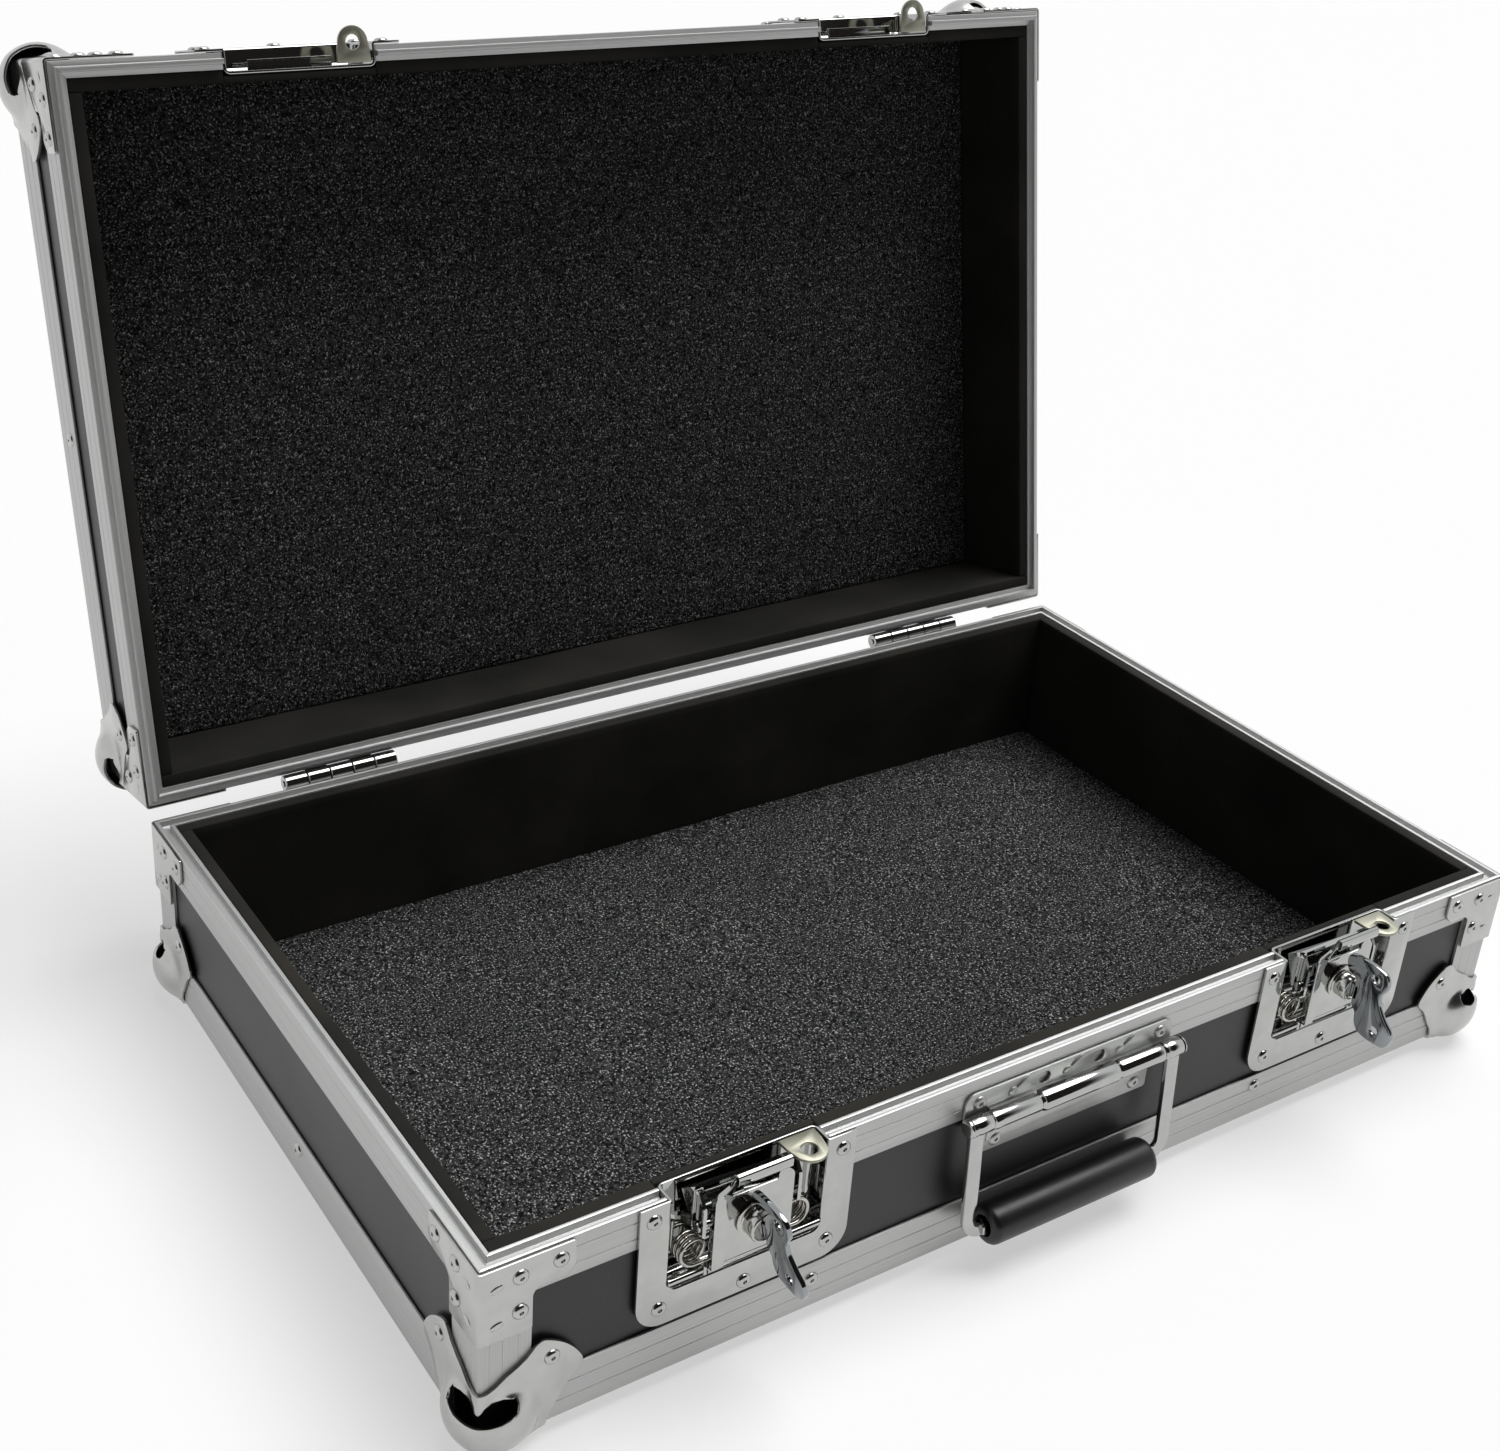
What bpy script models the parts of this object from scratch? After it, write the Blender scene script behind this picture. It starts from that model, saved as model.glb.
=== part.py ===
# Utility case with a hinged lid, standing open. Metres, +Z up, the front at -Y.
# The origin is the middle of the floor panel's underside.
import math

import bmesh
import bpy
from mathutils import Matrix, Vector

# The case
CASE_LENGTH = 0.540
CASE_WIDTH = 0.332
BASE_HEIGHT = 0.0844
LID_HEIGHT = 0.0605
RIM_GAP = 0.0006
LID_OPEN_ANGLE = math.radians(101)
CLEARANCE = 0.0003
OVERRUN = 0.010

# Walls, foam and carpet
PANEL_THICKNESS = 0.0045
FOAM_THICKNESS = 0.0056
CARPET_THICKNESS = 0.0037

# Aluminium edging, corner posts and the rims that meet
EDGING_WALL = 0.0012
EDGING_WIDTH = 0.0225
POST_WIDTH = 0.021
RIM_OUTER_DEPTH = 0.0184
RIM_INNER_DEPTH = 0.012
RIM_INNER_WALL = 0.001
RIM_OUTER_LIP = 0.0017
RIM_INNER_LIP = 0.0017
RIM_VALLEY_DEPTH = 0.003
TONGUE_LENGTH = 0.0026
TONGUE_CLEARANCE = 0.0008

# Pressed sheet fittings and rivets
SHEET = 0.0012
RIVET_RADIUS = 0.0033
RIVET_RISE = 0.0012
RIVET_SIDES = 6

# Ball corners
BALL_RADIUS = 0.018
BALL_RISE = 0.008
LOBE_RADIUS = 0.013
LOBE_CENTRE = 0.0315
CORNER_REACH = 0.0255

# Corner braces
BRACE_ARM = 0.0375
BRACE_ARM_DEPTH = 0.0155
BRACE_LEG = 0.0205
BRACE_LEG_DEPTH = 0.034
BRACE_FILLET = 0.004
BRACE_RIVET_ROW = 0.0077
BRACE_RIVET_COLUMN = 0.0155
BRACE_RIVET_PITCH = 0.016
BRACE_LEG_RIVET = {"base": (0.0155, 0.0237), "lid": (0.0093, 0.0217)}
BRACE_GAP = 0.0006

# Latch dishes
DISH_FROM_END = 0.1115
DISH_WIDTH = 0.096
DISH_POCKET_WIDTH = 0.069
DISH_POCKET_DEPTH = 0.0082
BASE_DISH_HEIGHT = 0.0589
BASE_DISH_WINDOW = 0.0434
LID_DISH_HEIGHT = 0.0365
LID_DISH_WINDOW = 0.024
DISH_CORNER = 0.012
DISH_WINDOW_CORNER = 0.004
DISH_RIM_RIVET = 0.042
DISH_RIM_RIVET_DROP = 0.0069
DISH_LOW_RIVET = 0.038
DISH_LOW_RIVET_ROW = 0.0084
DISH_MIDDLE_RIVET_ROW = 0.0049
STRIKE_WIDTH = 0.040
STRIKE_DEPTH = 0.0045
STRIKE_DROP = 0.013

# Padlock ears
EAR_OFFSET = 0.0255
EAR_WIDTH = 0.014
EAR_REACH = 0.0011
EAR_THICKNESS = 0.0015
EAR_HOLE_RADIUS = 0.0035

# Latch levers: distances out from the front face, and drops below the base's rim
LEVER_WIDTH = 0.035
LEVER_SHEET = 0.0012
LEVER_FRONT = 0.0045
LEVER_PIVOT_FRONT = 0.0005
LEVER_PIVOT_DROP = 0.0404
LEVER_PIVOT_RADIUS = 0.0015
LEVER_KNUCKLE_RADIUS = 0.0024
LEVER_FOOT_DROP = 0.0391
LEVER_BEND_DROP = 0.004
LEVER_TIP_RISE = 0.007
LEVER_TIP_FRONT = 0.0086
LEVER_TIP_WIDTH = 0.024
LEVER_TIP_CORNER = 0.003
LEVER_SHOULDER_DROP = 0.0055
LEVER_LUG_THICKNESS = 0.0017
PIVOT_LUG_THICKNESS = 0.0015
PIVOT_LUG_HEIGHT = 0.004

# Claws
CLAW_WIDTH = 0.044
CLAW_SHEET = 0.0015
CLAW_PIVOT_DROP = 0.0184
CLAW_BACK_DEPTH = 0.0031
CLAW_FLANGE_FRONT = 0.0035
CLAW_HEAD_DROP = 0.0024
CLAW_HEAD_SLOPE = 0.0016
CLAW_SHOULDER_DROP = 0.0094
CLAW_FOOT_DROP = 0.0224
CLAW_BACK_FOOT_DROP = 0.0194

# Double torsion springs
SPRING_WIRE = 0.0017
SPRING_RADIUS = 0.00545
SPRING_PITCH = 0.0023
SPRING_TURNS = 3.25
SPRING_CURL_POINTS = 8
SPRING_OFFSET = 0.0232
SPRING_DROP = 0.0309
SPRING_ARM = 0.0125
SPRING_LEAST_GAP = 0.0004

# Lock barrels
LOCK_DROP = 0.0199
LOCK_FLANGE_RADIUS = 0.008
LOCK_FLANGE_THICKNESS = 0.001
LOCK_RADIUS = 0.00625
LOCK_FRONT = 0.0125
LOCK_SHANK_RADIUS = 0.005
KEYWAY_HEIGHT = 0.0076
KEYWAY_DEPTH = 0.006

# Keys
KEY_THICKNESS = 0.0022
KEY_BLADE_HEIGHT = 0.007
KEY_BLADE_LENGTH = 0.0065
KEY_FRONT = 0.0134
KEY_LENGTH = 0.0232
KEY_HEIGHT = 0.0365
KEY_HOLE_RADIUS = 0.0021
KEY_TURNS = {"left": math.radians(-20), "right": 0}
KEY_BOW_SHARES = (
    (0.00, 0.66), (-0.22, 0.74), (-0.28, 0.90), (-0.10, 0.99), (0.40, 1.00), (0.66, 0.95), (0.72, 0.80),
    (0.62, 0.66), (0.64, 0.52), (0.80, 0.38), (1.00, 0.26), (1.00, 0.10), (0.82, 0.00), (0.34, 0.00),
    (0.16, 0.10), (0.12, 0.24), (0.00, 0.34),
)
KEY_HOLE_SHARES = ((0.42, 0.83), (0.62, 0.16))

# Handle
HANDLE_WIDTH = 0.112
HANDLE_LOWER_WIDTH = 0.091
HANDLE_TOP_DROP = 0.0061
HANDLE_STEP_DROP = 0.0245
HANDLE_STEP_SLOPE = 0.002
HANDLE_BOTTOM_DROP = 0.0384
HANDLE_RIVET_OFFSET = 0.049
HANDLE_HOLE_OFFSET = 0.0148
HANDLE_HOLE_RADIUS = 0.003
HANDLE_RIVET_DROP = 0.0113
HANDLE_LOW_RIVET_OFFSET = 0.038
HANDLE_LOW_RIVET_DROP = 0.0335
HANDLE_PIVOT_FRONT = 0.0062
HANDLE_PIVOT_DROP = 0.0179
HANDLE_KNUCKLE_RADIUS = 0.004
HANDLE_SLEEVE_RADIUS = 0.0046
HANDLE_SLEEVE_WIDTH = 0.040
HANDLE_WEB_HEIGHT = 0.0056
HANDLE_PIN_RADIUS = 0.0016
HANDLE_PIN_HEAD = 0.0015
BAIL_WIDTH = 0.114
BAIL_BAND = 0.007
BAIL_THICKNESS = 0.0026
BAIL_EYE_WIDTH = 0.0103
BAIL_LENGTH = 0.0525
BAIL_CORNER = 0.0105
BAIL_LEAN = math.radians(3.7)
GRIP_LENGTH = 0.090
GRIP_RADIUS = 0.009
GRIP_BORE_RADIUS = 0.0042
GRIP_END = 0.003

# Hinges
HINGE_FROM_END = 0.094
HINGE_WIDTH = 0.058
HINGE_AXIS_BEHIND = 0.0046
HINGE_RADIUS = 0.0042
HINGE_PIN_RADIUS = 0.0015
HINGE_LEAF = 0.0015
HINGE_LEAF_DROP = 0.028
HINGE_NOTCH = 0.0047
HINGE_KNUCKLES = 5
HINGE_RIVET_INSET = 0.009
HINGE_RIVET_ROWS = (0.0115, 0.0225)

# Facets of round pieces
BALL_SEGMENTS = 12
BALL_RINGS = 6
ROUND_SIDES = 16
SMALL_SIDES = 12
SHARP_ANGLE = math.radians(40)
FLAT_ANGLE = math.radians(1)

# Places that follow from the sizes
HALF_LENGTH = CASE_LENGTH / 2
HALF_WIDTH = CASE_WIDTH / 2
DISH_CENTRE = HALF_LENGTH - DISH_FROM_END
HINGE_CENTRE = HALF_LENGTH - HINGE_FROM_END
PANEL_INSET = EDGING_WALL + CLEARANCE
PANEL_INNER = PANEL_INSET + PANEL_THICKNESS
FLANGE_INSET = PANEL_INNER + CLEARANCE
RIM_INNER_EDGE = FLANGE_INSET + RIM_INNER_WALL
FOAM_INSET = RIM_INNER_EDGE + CLEARANCE
FOAM_INNER = FOAM_INSET + FOAM_THICKNESS
RIM_WEB = RIM_VALLEY_DEPTH + EDGING_WALL
SHEET_OUTER = SHEET + CLEARANCE
BASE_OUTER = -PANEL_INSET
RIM_HEIGHT = BASE_OUTER + BASE_HEIGHT
LID_RIM_HEIGHT = RIM_HEIGHT + RIM_GAP
LID_OUTER = LID_RIM_HEIGHT + LID_HEIGHT
HINGE_HEIGHT = RIM_HEIGHT + RIM_GAP / 2
HINGE_AXIS = Vector((0, HALF_WIDTH + HINGE_AXIS_BEHIND, HINGE_HEIGHT))

BASE = {"name": "base", "outer": BASE_OUTER, "rim": RIM_HEIGHT, "up": 1, "height": BASE_HEIGHT}
LID = {"name": "lid", "outer": LID_OUTER, "rim": LID_RIM_HEIGHT, "up": -1, "height": LID_HEIGHT}
SIDES = {"left": -1, "right": 1}
ENDS = {"front": -1, "rear": 1}

# Colours, roughness and metal share of each finish
FINISHES = {
    "aluminium": ((0.62, 0.62, 0.63), 0.34, 1),
    "steel": ((0.66, 0.66, 0.66), 0.22, 1),
    "nickel": ((0.58, 0.55, 0.50), 0.3, 1),
    "black_panel": ((0.015, 0.015, 0.016), 0.45, 0),
    "foam": ((0.012, 0.012, 0.013), 0.85, 0),
    "carpet": ((0.02, 0.02, 0.021), 0.95, 0),
    "rubber": ((0.02, 0.02, 0.02), 0.6, 0),
}


def clear_scene():
    for thing in list(bpy.data.objects):
        bpy.data.objects.remove(thing, do_unlink=True)


def new_collection(name):
    collection = bpy.data.collections.new(name)
    bpy.context.scene.collection.children.link(collection)
    return collection


clear_scene()
PARTS = new_collection("utility_case")
TOOLS = new_collection("cutters")


def paint(thing, finish):
    colour, roughness, metallic = FINISHES[finish]
    material = bpy.data.materials.new(thing.name)
    material.use_nodes = True
    shader = material.node_tree.nodes["Principled BSDF"]
    shader.inputs["Base Color"].default_value = (*colour, 1)
    shader.inputs["Roughness"].default_value = roughness
    shader.inputs["Metallic"].default_value = metallic
    thing.data.materials.append(material)


def from_bmesh(name, bm, place, finish):
    bm.transform(place)
    bm.normal_update()
    bmesh.ops.recalc_face_normals(bm, faces=bm.faces)
    mesh = bpy.data.meshes.new(name)
    bm.to_mesh(mesh)
    bm.free()
    return add_mesh(name, mesh, finish)


def add_mesh(name, mesh, finish):
    thing = bpy.data.objects.new(name, mesh)
    if finish:
        PARTS.objects.link(thing)
        paint(thing, finish)
    else:
        TOOLS.objects.link(thing)
        thing.hide_render = True
        thing.display_type = "WIRE"
    return thing


def box(name, low, high, place=Matrix(), finish=None):
    low, high = Vector(low), Vector(high)
    bm = bmesh.new()
    bmesh.ops.create_cube(
        bm, size=1, matrix=Matrix.Translation((low + high) / 2) @ Matrix.Diagonal((*(high - low), 1))
    )
    return from_bmesh(name, bm, place, finish)


def rod(name, start, end, radius, sides=SMALL_SIDES, place=Matrix(), finish=None):
    start, end = Vector(start), Vector(end)
    along = end - start
    bm = bmesh.new()
    bmesh.ops.create_cone(
        bm, cap_ends=True, segments=sides, radius1=radius, radius2=radius, depth=along.length,
        matrix=Matrix.Translation((start + end) / 2) @ along.to_track_quat("Z", "Y").to_matrix().to_4x4(),
    )
    return from_bmesh(name, bm, place, finish)


def ball(name, centre, radius, place=Matrix(), finish=None):
    bm = bmesh.new()
    bmesh.ops.create_uvsphere(
        bm, u_segments=BALL_SEGMENTS, v_segments=BALL_RINGS, radius=radius, matrix=Matrix.Translation(centre)
    )
    return from_bmesh(name, bm, place, finish)


def plate(name, outline, low, high, place=Matrix(), finish=None):
    # A flat outline in the local XY plane, filled from low to high along local Z.
    curve = bpy.data.curves.new(name, "CURVE")
    curve.dimensions = "2D"
    curve.fill_mode = "BOTH"
    curve.extrude = (high - low) / 2
    spline = curve.splines.new("POLY")
    spline.points.add(len(outline) - 1)
    for point, (x, y) in zip(spline.points, outline):
        point.co = (x, y, 0, 1)
    spline.use_cyclic_u = True
    flat = bpy.data.objects.new(name, curve)
    TOOLS.objects.link(flat)
    filled = bpy.data.meshes.new_from_object(flat.evaluated_get(bpy.context.evaluated_depsgraph_get()))
    bpy.data.objects.remove(flat)
    bpy.data.curves.remove(curve)
    bm = bmesh.new()
    bm.from_mesh(filled)
    bpy.data.meshes.remove(filled)
    bmesh.ops.remove_doubles(bm, verts=bm.verts, dist=CLEARANCE / 10)
    bmesh.ops.dissolve_limit(bm, angle_limit=FLAT_ANGLE, verts=bm.verts, edges=bm.edges)
    bmesh.ops.translate(bm, verts=bm.verts, vec=(0, 0, (low + high) / 2))
    return from_bmesh(name, bm, place, finish)


def mitred(name, profile, path, closed, half, finish=None):
    # Lofts a profile of (inset, drop from the rim) round the case's outline, mitred where it turns.
    bm = bmesh.new()
    rows = []
    for index, point in enumerate(path):
        before = point - path[index - 1] if closed or index else None
        after = path[(index + 1) % len(path)] - point if closed or index + 1 < len(path) else None
        normals = [Vector((-run.y, run.x)).normalized() for run in (before, after) if run]
        inward = sum(normals, Vector((0, 0)))
        inward *= len(normals) / inward.length_squared
        rows.append(
            [
                bm.verts.new((*(point + inward * inset), half["rim"] - half["up"] * drop))
                for inset, drop in profile
            ]
        )
    count = len(profile)
    for index in range(len(rows) - (not closed)):
        first, second = rows[index], rows[(index + 1) % len(rows)]
        for side in range(count):
            other = (side + 1) % count
            bm.faces.new((first[side], first[other], second[other], second[side]))
    if not closed:
        bm.faces.new(rows[0])
        bm.faces.new(rows[-1])
    return from_bmesh(name, bm, Matrix(), finish)


def combine(thing, tool, operation):
    change = thing.modifiers.new(tool.name, "BOOLEAN")
    change.operation = operation
    change.object = tool
    tool.parent = thing
    return thing


def join(thing, *others):
    for other in others:
        combine(thing, other, "UNION")
    return thing


def cut(thing, *others):
    for other in others:
        combine(thing, other, "DIFFERENCE")
    return thing


def smooth(*things):
    for thing in things:
        thing.data.shade_smooth()
        thing.data.set_sharp_from_angle(angle=SHARP_ANGLE)


def set_origin(thing, point):
    # Moves the object's origin to its joint, and its cutters stay where they are.
    back = Matrix.Translation(-Vector(point))
    thing.data.transform(back)
    thing.location = point
    for tool in thing.children:
        tool.matrix_parent_inverse = back
    return thing


def attach(parent, *things):
    # The pieces keep the place that they have while the parent stands unturned.
    for thing in things:
        thing.parent = parent
        thing.matrix_parent_inverse = Matrix.Translation(parent.location).inverted()


def arc(centre, radius, start, end, steps):
    return [
        (
            centre[0] + radius * math.cos(math.radians(start + (end - start) * step / steps)),
            centre[1] + radius * math.sin(math.radians(start + (end - start) * step / steps)),
        )
        for step in range(steps + 1)
    ]


def rivets(name, places, place):
    # Round heads on a sheet whose outer face looks along local -Z.
    bm = bmesh.new()
    for x, y in places:
        top = -SHEET_OUTER - RIVET_RISE
        foot = -SHEET_OUTER + SHEET / 2
        bmesh.ops.create_cone(
            bm, cap_ends=True, segments=RIVET_SIDES, radius1=RIVET_RADIUS - RIVET_RISE / 2,
            radius2=RIVET_RADIUS, depth=foot - top, matrix=Matrix.Translation((x, y, (top + foot) / 2)),
        )
    return from_bmesh(name, bm, place, None)


def axes_to(first, second, third, origin):
    # A matrix that sends local X, Y and Z to the given directions, at the given origin.
    return Matrix.Translation(origin) @ Matrix((first, second, third)).transposed().to_4x4()


def front_face(x, half):
    # Local X along the case, local Y away from the rim, local Z inward from the front face.
    return axes_to((1, 0, 0), (0, 0, -half["up"]), (0, 1, 0), (x, -HALF_WIDTH, half["rim"]))


def corner_faces(half, side, end, level):
    # The three faces that meet at a corner, as local frames with Z inward.
    along = Vector((-side, 0, 0))
    across = Vector((0, -end, 0))
    up = Vector((0, 0, half["up"] if level == "outer" else -half["up"]))
    origin = (side * HALF_LENGTH, end * HALF_WIDTH, half[level])
    return (
        axes_to(along, up, across, origin),
        axes_to(across, up, along, origin),
        axes_to(along, across, up, origin),
    )


def outline_of_case():
    return [
        Vector((-HALF_LENGTH, -HALF_WIDTH)),
        Vector((HALF_LENGTH, -HALF_WIDTH)),
        Vector((HALF_LENGTH, HALF_WIDTH)),
        Vector((-HALF_LENGTH, HALF_WIDTH)),
    ]


def pocket_edges():
    half_cut = DISH_POCKET_WIDTH / 2 + SHEET + CLEARANCE
    return DISH_CENTRE - half_cut, DISH_CENTRE + half_cut


def pocket_cutters(name, half, window):
    # Room for both latch pockets, in the wall and in the foam behind it.
    inner, outer = pocket_edges()
    return [
        box(
            f"{name}_{side}", (sign * inner, -HALF_WIDTH - OVERRUN, half["rim"] + half["up"] * OVERRUN),
            (
                sign * outer, -HALF_WIDTH + DISH_POCKET_DEPTH + SHEET + CLEARANCE,
                half["rim"] - half["up"] * (window + SHEET + CLEARANCE),
            ),
        )
        for side, sign in SIDES.items()
    ]


def square_profile(outer, inner, top, bottom):
    return [(outer, top), (inner, top), (inner, bottom), (outer, bottom)]


def rim_profile(tongue):
    valley_start = RIM_OUTER_LIP
    valley_end = RIM_INNER_EDGE - RIM_INNER_LIP
    if tongue:
        start = valley_start + TONGUE_CLEARANCE
        end = valley_end - TONGUE_CLEARANCE
        face = [(start, 0), (start, -TONGUE_LENGTH), (end, -TONGUE_LENGTH), (end, 0)]
    else:
        face = [
            (valley_start, 0), (valley_start, RIM_VALLEY_DEPTH), (valley_end, RIM_VALLEY_DEPTH),
            (valley_end, 0),
        ]
    return [
        (0, RIM_OUTER_DEPTH), (0, 0), *face, (RIM_INNER_EDGE, 0), (RIM_INNER_EDGE, RIM_INNER_DEPTH),
        (FLANGE_INSET, RIM_INNER_DEPTH), (FLANGE_INSET, RIM_WEB), (EDGING_WALL, RIM_WEB),
        (EDGING_WALL, RIM_OUTER_DEPTH),
    ]


def edging_profile(half):
    height = half["height"]
    return [
        (0, height), (0, height - EDGING_WIDTH), (EDGING_WALL, height - EDGING_WIDTH),
        (EDGING_WALL, height - EDGING_WALL), (EDGING_WIDTH, height - EDGING_WALL), (EDGING_WIDTH, height),
    ]


def post(name, half, side, end, top, bottom, finish):
    # An angle section; top and bottom are drops from the rim.
    inner = EDGING_WALL
    outline = [
        (0, 0), (POST_WIDTH, 0), (POST_WIDTH, inner), (inner, inner), (inner, POST_WIDTH), (0, POST_WIDTH),
    ]
    place = corner_faces(half, side, end, "rim")[2]
    return plate(name, outline, top, bottom, place, finish)


def rims(half, tongue):
    name = half["name"]
    inner, outer = pocket_edges()
    front = -HALF_WIDTH
    corners = outline_of_case()
    path = [Vector((outer, front)), *corners[1:], corners[0], Vector((-outer, front))]
    middle = [Vector((-inner, front)), Vector((inner, front))]
    return (
        mitred(f"{name}_rim_frame", rim_profile(tongue), path, False, half, "aluminium"),
        mitred(f"{name}_rim_front_middle", rim_profile(tongue), middle, False, half, "aluminium"),
    )


def wall_panels(half, window):
    name = f"{half['name']}_wall_panels"
    bottom = half["height"] - PANEL_INNER - CLEARANCE
    profile = square_profile(PANEL_INSET, PANEL_INNER, RIM_WEB + CLEARANCE, bottom)
    ring = mitred(name, profile, outline_of_case(), True, half, "black_panel")
    return cut(ring, *pocket_cutters(f"{name}_pocket", half, window))


def flat_panel(half, node):
    inset = PANEL_INSET
    return box(
        node, (inset - HALF_LENGTH, inset - HALF_WIDTH, half["outer"] + half["up"] * PANEL_INSET),
        (HALF_LENGTH - inset, HALF_WIDTH - inset, half["outer"] + half["up"] * PANEL_INNER),
        finish="black_panel",
    )


def wall_foam(half, window):
    name = f"{half['name']}_wall_foam"
    bottom = half["height"] - PANEL_INNER - CLEARANCE
    profile = square_profile(FOAM_INSET, FOAM_INNER, 0, bottom)
    ring = mitred(name, profile, outline_of_case(), True, half, "foam")
    return cut(ring, *pocket_cutters(f"{name}_pocket", half, window))


def carpet(half, node):
    inset = FOAM_INNER + CLEARANCE
    start = PANEL_INNER + CLEARANCE
    return box(
        node, (inset - HALF_LENGTH, inset - HALF_WIDTH, half["outer"] + half["up"] * start),
        (HALF_LENGTH - inset, HALF_WIDTH - inset, half["outer"] + half["up"] * (start + CARPET_THICKNESS)),
        finish="carpet",
    )


def lobe_outline():
    return arc((LOBE_CENTRE, LOBE_CENTRE), LOBE_RADIUS, -50, 140, 8)


def corner_outline():
    # From one folded edge, round the riveted lobe, to the other folded edge.
    edge, reach = -SHEET_OUTER, CORNER_REACH
    return [(edge, edge), (reach, edge), (reach, 0), *lobe_outline(), (0, reach), (edge, reach)]


def ball_corner(half, side_name, end_name):
    name = f"{half['name']}_ball_corner_{end_name}_{side_name}"
    faces = corner_faces(half, SIDES[side_name], ENDS[end_name], "outer")
    corner = faces[2]
    centre = (BALL_RADIUS - BALL_RISE,) * 3
    reach = LOBE_CENTRE + LOBE_RADIUS + OVERRUN
    shell = ball(name, centre, BALL_RADIUS, corner, "steel")
    for number, face in enumerate(faces):
        join(shell, plate(f"{name}_sheet_{number}", corner_outline(), -SHEET_OUTER, -CLEARANCE, face))
    cut(shell, box(f"{name}_room", (-CLEARANCE,) * 3, (reach,) * 3, corner))
    cut(shell, ball(f"{name}_hollow", centre, BALL_RADIUS - SHEET, corner))
    for number, face in enumerate(faces):
        join(shell, rivets(f"{name}_rivet_{number}", [(LOBE_CENTRE, LOBE_CENTRE)], face))
    smooth(shell)
    return shell


def brace_outline(half):
    # Where the half is low, the leg ends along the ball corner's sheet.
    edge = -SHEET_OUTER
    fillet = (BRACE_LEG + BRACE_FILLET, BRACE_ARM_DEPTH + BRACE_FILLET)
    lobe_x, lobe_y = lobe_outline()[-1]
    sheet_at_leg = CORNER_REACH + (lobe_y - CORNER_REACH) * BRACE_LEG / lobe_x
    fold_depth = min(BRACE_LEG_DEPTH, half["height"] - CORNER_REACH - BRACE_GAP)
    side_depth = min(BRACE_LEG_DEPTH, half["height"] - sheet_at_leg - BRACE_GAP)
    return [
        (edge, 0), (BRACE_ARM, 0), (BRACE_ARM, BRACE_ARM_DEPTH - BRACE_FILLET),
        (BRACE_ARM - BRACE_FILLET, BRACE_ARM_DEPTH), *arc(fillet, BRACE_FILLET, 270, 180, 3),
        (BRACE_LEG, side_depth), (0, fold_depth), (edge, fold_depth),
    ]


def corner_brace(half, side_name, end_name):
    name = f"{half['name']}_corner_brace_{end_name}_{side_name}"
    faces = corner_faces(half, SIDES[side_name], ENDS[end_name], "rim")[:2]
    places = [
        (BRACE_RIVET_COLUMN, BRACE_RIVET_ROW),
        (BRACE_RIVET_COLUMN + BRACE_RIVET_PITCH, BRACE_RIVET_ROW),
        BRACE_LEG_RIVET[half["name"]],
    ]
    brace = plate(name, brace_outline(half), -SHEET_OUTER, -CLEARANCE, faces[0], "steel")
    join(brace, plate(f"{name}_side", brace_outline(half), -SHEET_OUTER, -CLEARANCE, faces[1]))
    for number, face in enumerate(faces):
        join(brace, rivets(f"{name}_rivets_{number}", places, face))
    return brace


def latch_dish(half, side_name, height, window):
    name = f"{half['name']}_latch_dish_{side_name}"
    place = front_face(SIDES[side_name] * DISH_CENTRE, half)
    wide = DISH_WIDTH / 2
    inner = DISH_POCKET_WIDTH / 2
    corner = DISH_CORNER
    round_end = DISH_WINDOW_CORNER
    window_end = window - round_end
    flange = [
        (-wide, 0), (wide, 0), *arc((wide - corner, height - corner), corner, 0, 90, 4),
        *arc((corner - wide, height - corner), corner, 90, 180, 4),
    ]
    mouth = [
        (-inner, -OVERRUN), (inner, -OVERRUN), *arc((inner - round_end, window_end), round_end, 0, 90, 3),
        *arc((round_end - inner, window_end), round_end, 90, 180, 3),
    ]
    dish = plate(name, flange, -SHEET_OUTER, -CLEARANCE, place, "steel")
    pocket = box(
        f"{name}_pocket", (-inner - SHEET, 0, -CLEARANCE - SHEET / 2),
        (inner + SHEET, window + SHEET, DISH_POCKET_DEPTH + SHEET), place,
    )
    join(dish, pocket)
    cut(dish, plate(f"{name}_mouth", mouth, -OVERRUN, DISH_POCKET_DEPTH, place))
    rows = (
        (DISH_RIM_RIVET, DISH_RIM_RIVET_DROP), (DISH_LOW_RIVET, height - DISH_LOW_RIVET_ROW),
    )
    places = [(sign * x, drop) for x, drop in rows for sign in (-1, 1)]
    places.append((0, height - DISH_MIDDLE_RIVET_ROW))
    return join(dish, rivets(f"{name}_rivets", places, place)), place


def base_dish(side_name):
    dish, place = latch_dish(BASE, side_name, BASE_DISH_HEIGHT, BASE_DISH_WINDOW)
    inner = LEVER_WIDTH / 2 + CLEARANCE
    outer = inner + PIVOT_LUG_THICKNESS
    top = LEVER_PIVOT_DROP - PIVOT_LUG_HEIGHT / 2
    for number, sign in enumerate((-1, 1)):
        lug = box(
            f"{dish.name}_pivot_lug_{number}", (sign * inner, top, -LEVER_PIVOT_FRONT - LEVER_PIVOT_RADIUS),
            (sign * outer, top + PIVOT_LUG_HEIGHT, DISH_POCKET_DEPTH + SHEET / 2), place,
        )
        join(dish, lug)
    start = (-outer + SHEET / 2, LEVER_PIVOT_DROP, -LEVER_PIVOT_FRONT)
    end = (outer - SHEET / 2, LEVER_PIVOT_DROP, -LEVER_PIVOT_FRONT)
    join(dish, rod(f"{dish.name}_pivot", start, end, LEVER_PIVOT_RADIUS, place=place))


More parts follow.
